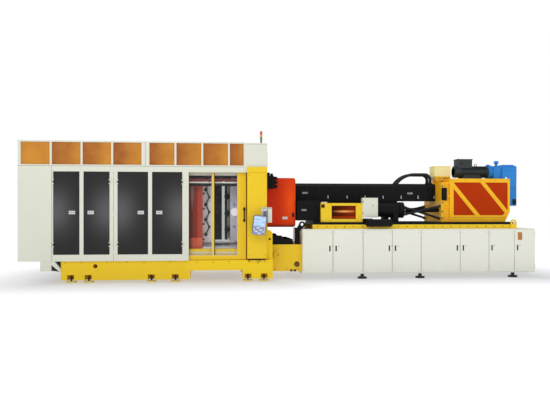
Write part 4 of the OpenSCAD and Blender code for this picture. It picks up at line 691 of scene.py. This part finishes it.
insideValues = dict(
    rails=(
        ((3030, -1235, 2472), (5550, -1180, 2507)), ((3030, -1235, 2664), (5550, -1223, 2733)),
        ((3030, -1235, 2400), (3060, -1180, 3380.3)),
    ),
    hoseX=(3030, 5550), hoses=((-1205, 2436, 35), (-1195, 2614, 26), (-1205, 2660, 24)),
    steps=36, wave=6, waveTurn=0.8, band=((3030, -1215, 2523), (5550, -1195, 2583)),
    sill=((4105, -1255, 540.3), (5545, -1215, 820)), strip=((4105, -1259, 700), (5545, -1254, 742)),
)


# What shows through the gate: rails and hoses under the head, hung from a cross tie, and the sill on the bed.
def gateInside():
    v = insideValues
    Form().boxes(v["rails"]).done("insideRails", whiteTrim, "machine", "white_paint", 0.003)
    hoses, (x0, x1), steps = Form(), v["hoseX"], v["steps"]
    for k, (y, z, radius) in enumerate(v["hoses"]):
        waves = [v["wave"] * math.sin(t * v["waveTurn"] + k) for t in range(steps + 1)]
        hoses.tube([(x0 + (x1 - x0) * t / steps, y, z + wave) for t, wave in enumerate(waves)], radius)
    hoses.done("insideHoses", rubberBlack, "machine", "black_rubber")
    Form().box(*v["band"]).done("insideBand", maroonPaint, "machine", "orange_red_paint", 0.002)
    Form().box(*v["sill"]).done("insideSill", yellow, "machine", "yellow_paint", 0.004)
    Form().box(*v["strip"]).done("insideStrip", whiteTrim, "machine", "white_paint", 0.001)


fittingValues = dict(
    rows=[1160 + 195 * i for i in range(9)], couplingX=4808, couplingY=-611,
    coupling=[(0, 26), (22, 26), (22, 16), (48, 16), (48, 20), (60, 20)],
    plugs=((4504, 46), (4593, 30)), plugY=-648, plugStep=9, linkY=-676, linkBow=34, linkR=15,
    white=((5254, -649, 1740), (0.1, -1, 0.06), [(-6, 60), (30, 60), (34, 104), (70, 104), (80, 88)], 24),
    knobs=((5058,), -609, (1290, 1710, 2150), [(0, 44), (20, 44), (24, 76), (60, 76), (68, 60)], 18),
    hoseY=-671, hoseBow=90, hoseR=13, bolts=((4445,), -650.5, (1030, 1430, 1830, 2230, 2630, 2880), 36),
)


# Couplings, plugs and hoses on the two mould halves, which ride with the platen and with the machine.
def mouldFittings():
    v = fittingValues
    couplings, plugs, spots = Form(), Form(), []
    for i, z in enumerate(v["rows"]):
        couplings.lathe((v["couplingX"], v["couplingY"], z), front, v["coupling"], 14)
        x, r = v["plugs"][i % 2]
        inner = r - v["plugStep"]
        plugs.lathe((x, v["plugY"], z), front, [(0, r), (14, r), (14, inner), (34, inner)], 14)
        spots.append((x, z))
    couplings.done("movingCouplings", mouldKnob, "platen", "ground_steel")
    for start, end in zip(spots, spots[1:]):
        plugs.tube(bowed(start, end, v["linkY"], v["linkBow"]), v["linkR"], 10)
    plugs.done("movingPlugs", mouldKnob, "platen", "ground_steel")
    # The fixed half's white coupling glows with painted light.
    Form().lathe(*v["white"]).done("fixedCoupling", paintedGlowPlate, "machine", "white_paint")
    Form().latheGrid(*v["knobs"]).done("fixedKnobs", rubberBlack, "machine", "black_rubber")
    hoses, x = Form(), v["couplingX"]
    for low, high in zip(v["rows"][0:8:2], v["rows"][1:8:2]):
        hoses.tube(bowed((x, low), (x, high), v["hoseY"], v["hoseBow"]), v["hoseR"], 10)
    hoses.done("movingHoses", rubberBlack, "platen", "black_rubber")
    Form().boltGrid(*v["bolts"]).done("mouldBolts", darkSteel, "platen", "ground_steel")


panelValues = dict(
    centre=(5835, -1770, 1420), roll=6,
    bezel=(((-145, -8, -38), (151, 1, 220)), ((-145, -8, -226), (151, 1, -44))),
    screen=((-133, -10, -24), (137, -7, 206)), keyRows=4, keyColumns=7, firstKey=(-131, 0, -58),
    keyStep=(37, -42), key=((0, -12, -30), (29, -7, 0)),
    ring=((121, -8, -198), front, [(0, 22), (5, 22)], 24),
    stop=((121, -12, -198), front, [(0, 10), (10, 10), (10, 17), (17, 15), (21, 9)], 24),
)


# The control panel's face: bezel, screen, keys and stop button, rolled with the panel.
def panelFace():
    v = panelValues
    cx, cy, cz = v["centre"]
    c, s = math.cos(math.radians(v["roll"])), math.sin(math.radians(v["roll"]))

    def turn(spot):
        x, y, z = spot
        return at(cx + x * c + z * s, cy + y, cz - x * s + z * c)

    Form(turn).boxes(v["bezel"]).done("panelBezel", bezelBlue, "panel", "panel_plastic", 0.004)
    Form(turn).box(*v["screen"]).done("panelScreen", screenGlass, "panel", "panel_plastic", 0.002)
    grey, blues, red = Form(turn), Form(turn), Form(turn)
    (x, y, z), (stepX, stepZ) = v["firstKey"], v["keyStep"]
    for row, col in product(range(v["keyRows"]), range(v["keyColumns"])):
        # a scatter of colours, as on the photo's keys
        keys = red if (row * 3 + col) % 11 == 5 else blues if (row + 2 * col) % 5 in (0, 2, 3) else grey
        keys.box(*v["key"], (x + col * stepX, y, z + row * stepZ))
    grey.done("panelKeysgrey", keyGrey, "panel", "panel_plastic", 0.002)
    blues.done("panelKeysblue", keyBlue, "panel", "panel_plastic", 0.002)
    red.done("panelKeysred", lensRed, "panel", "panel_plastic", 0.002)
    Form(turn).lathe(*v["ring"]).done("panelStopRing", yellow, "panel", "yellow_paint")
    Form(turn).lathe(*v["stop"]).done("panelStop", lensRed, "panel", "lamp_lens")


columnValues = dict(
    plinth=((5572, -1442.5, 541), (6018, -1439, 582)), line=((5552, -1501.5, 2727), (6038, -1499, 2733)),
    wires=((5640, -60, 70), (5790, 40, 120), (5800, 90, 60)), wireR=6, wireY=(-1412, -1396), wireBow=34,
    wireTop=575, wireSteps=12, wireWave=10, wireTurn=0.5,
    bolts=((5600, 6005), -1500, (660, 1160, 1900, 2660), 20),
    arm=(((5898, -1584, 1830), (6152, -1579, 1850)), ((6030, -1583, 1480), (6062, -1579, 1812))),
    screws=((5905, 6145), -1580, (1500, 1842), [(0, 7), (4, 7), (5, 4)], 12),
    topSeam=((5484, -1451.5, 3440), (6046, -1449, 3445)),
)


# Trim of the column, its arm box and the box above it, with painted shade under the column and a painted shadow line
# below its cap.
def columnTrim():
    v = columnValues
    # A thin dark sheet set back under the column: painted shade beneath its overhang.
    Form().box(*v["plinth"]).done("columnUnderShade", blackPlastic, "machine", "black_rubber")
    # A dark yellow strip just below the cap: a painted shadow line.
    Form().box(*v["line"]).done("columnCapShadow", yellowShade, "machine", "yellow_paint")
    wires, (y0, y1) = Form(), v["wireY"]
    for x, reach, drop in v["wires"]:
        path = []
        for k in range(v["wireSteps"] + 1):
            t = k / v["wireSteps"]
            y = y0 + (y1 - y0) * t - v["wireBow"] * math.sin(math.pi * t)  # out from under the column and into the bed
            path.append((x + reach * t, y, v["wireTop"] - drop * t + v["wireWave"] * math.sin(k * v["wireTurn"])))
        wires.tube(path, v["wireR"], 8)
    wires.done("columnWires", rubberBlack, "machine", "black_rubber")
    Form().boltGrid(*v["bolts"]).done("columnBolts", yellowTrim, "machine", "yellow_paint")
    arm = Form().boxes(v["arm"]).latheGrid(*v["screws"])
    arm.done("armTrim", greyPlastic, "machine", "panel_plastic", 0.002)
    Form().box(*v["topSeam"]).done("topBoxSeam", seamDark, "machine", "black_rubber")


nozzleValues = dict(
    plate=((6522, -602.5, 1552), (6660, -599.5, 1622)), block=((6778, -606, 1612), (6838, -599, 1722)),
    plug=((6808, -605, 1690), front, [(0, 16), (14, 16), (18, 22), (34, 20)], 18),
    screws=((6150, 6830), -600, (1400, 1700, 2000, 2300, 2600), 18),
    caps=((6350,), -750, (2420, 2525, 2630), [(0, 30), (18, 30), (22, 20), (34, 20)], 16, right),
    capBolts=((6130, 6220), -940, (2420, 2525, 2630), 22),
)


# A bare plate, screws and a plug on the nozzle guard, and caps and bolts on the valve block.
def guardTrim():
    v = nozzleValues
    Form().box(*v["plate"]).done("guardPlate", lightPlate, "machine", "white_paint", 0.001)
    plugs = Form().box(*v["block"]).lathe(*v["plug"])
    plugs.done("guardPlugs", blackPlastic, "machine", "black_paint")
    Form().boltGrid(*v["screws"]).done("guardScrews", redTrim, "machine", "orange_red_paint")
    caps = Form().latheGrid(*v["caps"]).boltGrid(*v["capBolts"])
    caps.done("valveCaps", blackPlastic, "machine", "black_paint")


coverValues = dict(
    face=-240, clipX=(7811, 8338, 8840, 9345, 9853, 10335, 10790),
    clip=(((-12, -12, 2118), (12, 1, 2198)), ((-12, -30, 2112), (12, 1, 2122))),
    rivets=(-251, (2160,), [(0, 9), (5, 9)], 12), plates=((7177, 2268), (10108, 2262)),
    plate=((-75, -2.5, -26), (75, 1, 26)), sidePlate=((7022, -692.5, 1777), (7152, -689, 1821)),
    joint=((-254, -243, 2056), (-246, -239, 2458)), lidJoint=((-254, -168, 2529), (-246, 168, 2532)),
    lines=(((6905, -245, 2451), (10825, -239, 2460)), ((6905, -693, 2034), (7508, -689, 2040))),
    skirt=((7509, -232, 1975), (9750, -220, 2051)),
    screws=(range(7000, 10900, 150), -240, (2085,), 14),
    heads=((6940, 7200, 7480), -690, (1560, 1760, 2000), 22),
)


# Light clips along the barrel cover's lower edge, bare plates, joint lines, a skirt and screws.
def coverTrim():
    v = coverValues
    y = v["face"]
    clips, joints = Form().latheGrid(v["clipX"], *v["rivets"]), Form().boxes(v["lines"])
    for x in v["clipX"]:
        clips.boxes(v["clip"], (x, y, 0))
        joints.box(*v["joint"], (x, 0, 0)).box(*v["lidJoint"], (x, 0, 0))
    clips.done("coverClips", steel, "carriage", "ground_steel", 0.002)
    plates = Form().box(*v["sidePlate"])
    for x, z in v["plates"]:
        plates.box(*v["plate"], (x, y, z))
    plates.done("coverPlates", greyPlate, "carriage", "white_paint", 0.001)
    joints.done("coverJoints", blackPlastic, "carriage", "black_paint")
    Form().box(*v["skirt"]).done("coverSkirt", black, "carriage", "black_paint", 0.003)
    screws = Form().boltGrid(*v["screws"]).boltGrid(*v["heads"])
    screws.done("coverScrews", blackPlastic, "carriage", "black_paint")


unitValues = dict(
    dark=(
        ((7524, -858, 1858), (7612, -849, 1944)), ((7798, -853, 1562), (7814, -849, 1908)),
        ((8428, -853, 1562), (8444, -849, 1908)), ((7798, -853, 1562), (8444, -849, 1574)),
        ((7798, -853, 1900), (8444, -849, 1912)),
    ),
    lock=((7560, -857, 1900), front, [(0, 26), (10, 26), (14, 40), (34, 38), (38, 28)], 20),
    tag=((7535, -800, 1980.3), (7690, -730, 2012)),
    bolts=((7560, 7780, 8470, 8590), -850, (1520, 1950), 22),
    lid=((8638, -858, 1613), (9029, -849.5, 2110)),
    lidLock=((8908, -857, 1932), front, [(0, 17), (6, 17), (8, 12)], 16),
    lidTrim=(
        ((8872, -860, 1890), (8944, -857, 1896)), ((8630, -866, 1692), (8646, -852, 1748)),
        ((8630, -866, 1982), (8646, -852, 2038)),
    ),
    cylinderY=(-480, 480), cylinderZ=1800, headR=199, heads=10, headSize=26,
    flanges=((7642, right), (9694, -right)), glandX=9823.5, gland=[(0, 105), (40, 105), (48, 92)],
)


# The cylinder guard's lock, window frame and bolts, the junction box's lid, and the cylinders' bolts and glands.
def unitTrim():
    v = unitValues
    dark = Form().boxes(v["dark"]).lathe(*v["lock"])
    dark.done("guardLock", blackPlastic, "carriage", "black_paint", 0.002)
    Form().box(*v["tag"]).done("guardTag", lightPlate, "carriage", "white_paint", 0.002)
    Form().boltGrid(*v["bolts"]).done("guardBolts", yellowTrim, "carriage", "yellow_paint")
    Form().box(*v["lid"]).done("junctionLid", white, "carriage", "white_paint", 0.005)
    lock = Form().lathe(*v["lidLock"]).boxes(v["lidTrim"])
    lock.done("junctionLock", greyPlastic, "carriage", "panel_plastic", 0.001)
    heads, glands = Form(), Form()
    for y in v["cylinderY"]:
        for (x, way), k in product(v["flanges"], range(v["heads"])):
            a = 2 * math.pi * k / v["heads"]
            spot = (x, y + v["headR"] * math.cos(a), v["cylinderZ"] + v["headR"] * math.sin(a))
            heads.bolt(spot, way, v["headSize"])
        glands.lathe((v["glandX"], y, v["cylinderZ"]), right, v["gland"], 24)
    heads.done("cylinderBolts", blackPlastic, "carriage", "black_paint")
    glands.done("rodGlands", steel, "carriage", "ground_steel")


driveValues = dict(
    face=700, highX=(11110, 11495, 11910, 12325, 12725), highZ=2610, lowX=(11110, 11495, 11910, 12325),
    lowZ=1540, boltSize=24, line=((11071, -702, 1598), (12665, -699, 1606)),
    port=(((10834, -704, 2060), (10984, -689.7, 2402)), ((10850, -712, 2100), (10968, -703, 2362))),
    feedX=10860, feedY=690, feedZ=(1590, 1760, 2000, 2300, 2450), feedSize=30,
    fitting=[(0, 34), (26, 34), (26, 28), (70, 28)],
    hoseEnds=((9823.4, right, ((585, 1880), (635, 1680))), (10829.6, -right, ((585, 1570), (635, 1910)))),
)


# Bolts and a joint line of the drive guard, the feed casting's port and bolts, and the hoses' end fittings.
def driveTrim():
    v = driveValues
    for side, name in ((-1, "driveBoltsFront"), (1, "driveBoltsRear")):
        bolts = Form()
        for columns, z in ((v["highX"], v["highZ"]), (v["lowX"], v["lowZ"])):
            for x in columns:
                bolts.bolt((x, side * v["face"], z), (0, side, 0), v["boltSize"])
        bolts.done(name, yellowTrim, "carriage", "yellow_paint")
    Form().box(*v["line"]).done("driveLine", yellowShade, "carriage", "yellow_paint")
    Form().boxes(v["port"]).done("feedPort", black, "carriage", "black_paint", 0.004)
    feed, fittings = Form(), Form()
    for side in (-1, 1):
        for z in v["feedZ"]:
            feed.bolt((v["feedX"], side * v["feedY"], z), (0, side, 0), v["feedSize"])
        for x, way, ends in v["hoseEnds"]:
            for y, z in ends:
                fittings.lathe((x, side * y, z), way, v["fitting"], 16)
    feed.done("feedBolts", darkSteel, "carriage", "ground_steel")
    fittings.done("hoseFittings", darkSteel, "carriage", "ground_steel")


hopperValues = dict(
    ribX=[10858 + 64 * k for k in range(7)],
    ribs=(((-13, -207, 2760), (13, -199.8, 3005)), ((-13, 199.8, 2760), (13, 207, 3005))),
    rim=(
        ((10812, -210, 3006), (11288, -199.8, 3030)), ((10812, 199.8, 3006), (11288, 210, 3030)),
        ((10812, -199.8, 3006), (10820.2, 199.8, 3030)), ((11279.8, -199.8, 3006), (11288, 199.8, 3030)),
    ),
)


# Ribs and rim of the hopper.
def hopperTrim():
    ribs = Form()
    for x in hopperValues["ribX"]:
        ribs.boxes(hopperValues["ribs"], (x, 0, 0))
    ribs.done("hopperRibs", paleRib, "carriage", "pale_yellow_paint", 0.004)
    Form().boxes(hopperValues["rim"]).done("hopperRim", pale, "carriage", "pale_yellow_paint", 0.004)


motorValues = dict(
    fan=(11446, 0, 2880), fanR=(40, 65, 90, 115, 140), fanW=8, fanT=5,
    eye=(12085, 0, 3068, 34, 18), eyeT=9,
    lidX=(11520, 11910), lidY=(-118, 118), lidZ=3235, lidSize=18,
    gland=((11645, -130, 3120), front, [(0, 30), (16, 30), (16, 24), (52, 22)], 16),
    endX=13165, endY=(-235, 235), endZ=(1980, 2200, 2420, 2640), endSize=26,
    ringX=13215, ringZ=(2290, 2880), ringR=112, ringBolts=8, ringSize=22,
    side=((12800, 12900, 13000, 13110), -260, (1990, 2440, 2930), 24),
    neck=((12570, 12700), -210, (2710, 3000), 24), knobPlate=((13050, -268, 1950), (13150, -259, 2110)),
    knob=((13100, -267, 2030), front, [(0, 40), (14, 40), (20, 46), (44, 44), (50, 34)], 22),
    sight=((12860, -260, 2700), front, [(0, 26), (8, 26), (10, 20)], 20),
)


# The motor's fan grille, eye, gland and box screws, and the gearbox's bolts, knob and sight glass.
def motorTrim():
    v = motorValues
    motor = Form().lathe(*v["gland"])
    for r in v["fanR"]:
        motor.lathe(v["fan"], -right, [(0, r), (v["fanT"], r), (v["fanT"], r - v["fanW"])], 28)
    motor.tube(circle(*v["eye"]), v["eyeT"], 10)
    for x, y in product(v["lidX"], v["lidY"]):
        motor.bolt((x, y, v["lidZ"]), up, v["lidSize"])
    motor.done("motorTrim", slateTrim, "carriage", "black_paint")
    gear = Form().boltGrid(*v["side"]).boltGrid(*v["neck"])
    for y, z in product(v["endY"], v["endZ"]):
        gear.bolt((v["endX"], y, z), right, v["endSize"])
    for z, k in product(v["ringZ"], range(v["ringBolts"])):
        a = 2 * math.pi * k / v["ringBolts"]
        gear.bolt((v["ringX"], v["ringR"] * math.cos(a), z + v["ringR"] * math.sin(a)), right, v["ringSize"])
    gear.done("gearboxBolts", blueTrim, "carriage", "blue_paint")
    knob = Form().box(*v["knobPlate"]).lathe(*v["knob"])
    knob.done("gearboxKnob", blackPlastic, "carriage", "black_paint", 0.003)
    Form().lathe(*v["sight"]).done("gearboxSight", mirrorSteel, "carriage", "ground_steel")


baseValues = dict(
    edges=(7000, 7800, 8600, 9380, 10160, 11220, 12010, 12720, 13300), hingeRight=(1, 3, 5, 6, 7), gap=12,
    face=-1030.3, pullIn=70, pull=((-18, -10.2, 723), (18, -8, 867)),
    lock=(72, 856), lockShape=[(0, 13), (4, 13), (6, 9)], sunk=0.2,
    screwIn=60, screwZ=(230, 1200), screw=[(0, 8), (3, 8), (4, 5)],
    plate=((12812, -1032.5, 1000), (12932, -1029.9, 1205)),
    padX=(8600, 10160, 12720), padY=(-920, 920), padZ=44.5, nut=[(0, 62), (18, 62), (22, 54)],
)


# Dark pulls, locks and screws on the base doors, a bare plate, and nuts on the base pads.
def baseTrim():
    v = baseValues
    y = v["face"] - v["sunk"]
    for i, (left, end) in enumerate(zip(v["edges"], v["edges"][1:])):
        x0, x1, body = left + v["gap"], end - v["gap"], f"base_door_{i + 1}_body"
        x = x0 + v["pullIn"] if i in v["hingeRight"] else x1 - v["pullIn"]
        pull = Form().box(*v["pull"], (x, v["face"], 0))
        pull.done(f"pullFace{i + 1}", blackPlastic, body, "black_paint", 0.0008)
        lock = Form().lathe((x + v["lock"][0], y, v["lock"][1]), front, v["lockShape"], 16)
        for screwX, z in product((x0 + v["screwIn"], x1 - v["screwIn"]), v["screwZ"]):
            lock.lathe((screwX, y, z), front, v["screw"], 12)
        lock.done(f"doorLocks{i + 1}", greyPlastic, body, "panel_plastic")
    Form().box(*v["plate"]).done("basePlate", orangePlate, "base_door_8_body", "orange_red_paint", 0.001)
    nuts = Form()
    for x, padY in product(v["padX"], v["padY"]):
        nuts.lathe((x, padY, v["padZ"]), up, v["nut"], 6)
    nuts.done("padNuts", darkSteel, "machine", "ground_steel")


bedValues = dict(
    shadeSheets=(((786, 455), (786, 305), (1004, 276)), ((868, 539), (1004, 352), (1004, 539))), shadeSheetY=(-1362, -1350),
    shadeSheetFaces=[(0, 1, 2), (5, 4, 3), (0, 3, 4, 1), (1, 4, 5, 2), (2, 5, 3, 0)],
    bolts=(
        ((1100, 1500, 2100, 2600, 3000, 3650), -1400, [505], 26), ((4300, 4700, 5100, 5600, 6000), -1400, [500], 26),
        ((6290, 6600, 6900), -900, [260], 30),
    ),
    ring=(6350, -902, 640, 66, 28), holeShade=(6870, -902, 385, 56, 28), hoopR=14,
    clampX=(6690, 6790), clamp=((0, -912, 196), (62, -899.5, 250)), clampBolt=(31, -911, 223), clampSize=34,
    rail=(range(7420, 12700, 240), -900, (1360,), 20),
    wiperY=(-800, 800), wiper=((12755.3, -88, 1416), (12768, 88, 1478)),
)


# Dark sheets of painted shade under the tail's slanted brace, bolts along the bed and rails, and rings and clamps on
# the link frame: a ring lug painted paler as a highlight and a dark ring of painted shade round a hole.
def bedTrim():
    v = bedValues
    # Dark sheets between brace, leg and bed: painted shade.
    shadeSheet = Form()
    for corners in v["shadeSheets"]:
        shadeSheet.faces([(x, y, z) for y in v["shadeSheetY"] for x, z in corners], v["shadeSheetFaces"])
    shadeSheet.done("bracketShadeSheet", blackPlastic, "machine", "black_paint")
    bolts = Form()
    for row in v["bolts"]:
        bolts.boltGrid(*row)
    bolts.done("bedBolts", yellowTrim, "machine", "yellow_paint")
    # The ring lug is painted paler yellow as a painted highlight.
    ring = Form().tube(circle(*v["ring"]), v["hoopR"], 10)
    ring.done("linkRing", highlightYellow, "machine", "pale_yellow_paint")
    # A dark ring round the link frame's hole: painted shade that widens the hole's dark.
    holeShade = Form().tube(circle(*v["holeShade"]), v["hoopR"], 10)
    holeShade.done("linkHoleShade", blackPlastic, "machine", "black_rubber")
    clamps, (boltX, boltY, boltZ) = Form(), v["clampBolt"]
    for x in v["clampX"]:
        clamps.box(*v["clamp"], (x, 0, 0)).bolt((x + boltX, boltY, boltZ), front, v["clampSize"])
    clamps.done("linkClamps", rustBrown, "machine", "black_paint", 0.003)
    Form().boltGrid(*v["rail"]).done("railBolts", darkSteel, "machine", "ground_steel")
    wipers = Form()
    for y in v["wiperY"]:
        wipers.box(*v["wiper"], (0, y, 0))
    wipers.done("railWipers", rubberBlack, "carriage", "black_rubber", 0.003)


for build in (
    doorLatches, panelSeams, gateTrim, gateInside, mouldFittings, panelFace, columnTrim, guardTrim, coverTrim,
    unitTrim, driveTrim, hopperTrim, motorTrim, baseTrim, bedTrim,
):
    build()
    print("stage:", build.__name__)

cameraValues = dict(
    spot=(-1.74, -16.32, 1.72), yaw=5.098, imageW=550, focalPixels=600, shiftPixels=6.5, sensor=36, far=200,
)
camera = bpy.data.objects.new("camera", bpy.data.cameras.new("camera"))
camera.location = cameraValues["spot"]
camera.rotation_euler = (math.radians(90), 0, -math.radians(cameraValues["yaw"]))
camera.data.sensor_width = cameraValues["sensor"]
camera.data.lens = cameraValues["sensor"] * cameraValues["focalPixels"] / cameraValues["imageW"]
camera.data.shift_y = cameraValues["shiftPixels"] / cameraValues["imageW"]
camera.data.clip_end = cameraValues["far"]
bpy.context.collection.objects.link(camera)
bpy.context.scene.camera = camera

lightValues = dict(
    key={"spot": (-6.0, -11.0, 9.0), "aim": (0, 0, 1.2), "size": 7.0, "power": 400},
    fill={"spot": (9.0, -10.0, 6.0), "aim": (2, 0, 1.0), "size": 6.0, "power": 180},
    top={"spot": (0.0, 1.0, 10.0), "aim": (0, 0, 0), "size": 9.0, "power": 260},
)
for name, values in lightValues.items():
    lamp = bpy.data.lights.new(name, "AREA")
    lamp.size = values["size"]
    lamp.energy = values["power"]
    stand = bpy.data.objects.new(name, lamp)
    stand.location = values["spot"]
    stand.rotation_euler = (Vector(values["aim"]) - Vector(values["spot"])).to_track_quat("-Z", "Y").to_euler()
    bpy.context.collection.objects.link(stand)

# The sky lights the part dimly, and is white where the camera sees it.
worldValues = dict(sky=0.485, background=1.0)
world = bpy.data.worlds.new("studio")
world.use_nodes = True
bpy.context.scene.world = world
skyTree = world.node_tree
seen = Link(skyTree).node("LightPath", output="Is Camera Ray")
skyLevel = worldValues["sky"] + seen * (worldValues["background"] - worldValues["sky"])
skyTree.links.new(skyLevel.socket, skyTree.nodes["Background"].inputs["Strength"])
skyTree.nodes["Background"].inputs["Color"].default_value = (1, 1, 1, 1)
bpy.context.scene.view_settings.view_transform = "Standard"

floorValues = dict(
    base=(0.29, 0.3, 0.32), tone=0.01, rough=0.7, patch=0.1, dim=0.42, lit=0.82,
    feet=(((-5.9, -1.3), (-0.5, 1.6), 2.4), ((0.3, -0.95), (6.7, 1.2), 2.0)),
    size=60.0, cells=8, drop=0.0005,
)


# A white studio floor that glows less in a soft margin round the machine's two footprints: a painted shadow.
def floorRecipe(spot):
    v, x, y = floorValues, spot.axis(0), spot.axis(1)

    def outside(value, low, high):
        return spot.math("MAXIMUM", spot.math("MAXIMUM", low - value, value - high), 0.0)

    def margin(low, high, reach):
        dx, dy = outside(x, low[0], high[0]), outside(y, low[1], high[1])
        return ((dx * dx + dy * dy) ** 0.5 / reach).clamped()

    lit = spot.math("MINIMUM", *(margin(*foot) for foot in v["feet"]))
    level = v["dim"] + lit * (v["lit"] - v["dim"])
    return {
        "Base Color": tone(spot, v["base"], v["tone"]),
        "Roughness": v["rough"] + spot.noise(2.0) * v["patch"],
        "Emission Color": spot.node("CombineColor", {0: level, 1: level, 2: level}),
    }


floorMesh = bmesh.new()
cells = floorValues["cells"]
bmesh.ops.create_grid(floorMesh, x_segments=cells, y_segments=cells, size=floorValues["size"])
floorData = bpy.data.meshes.new("floor")
floorMesh.to_mesh(floorData)
floorMesh.free()
floor = bpy.data.objects.new("floor", floorData)
floor.location = (0, 0, -floorValues["drop"])
floorData.materials.append(material("floorPaint", floorRecipe, **{"Emission Strength": 1.0}))
bpy.context.collection.objects.link(floor)
print("stage: camera, light and floor set")
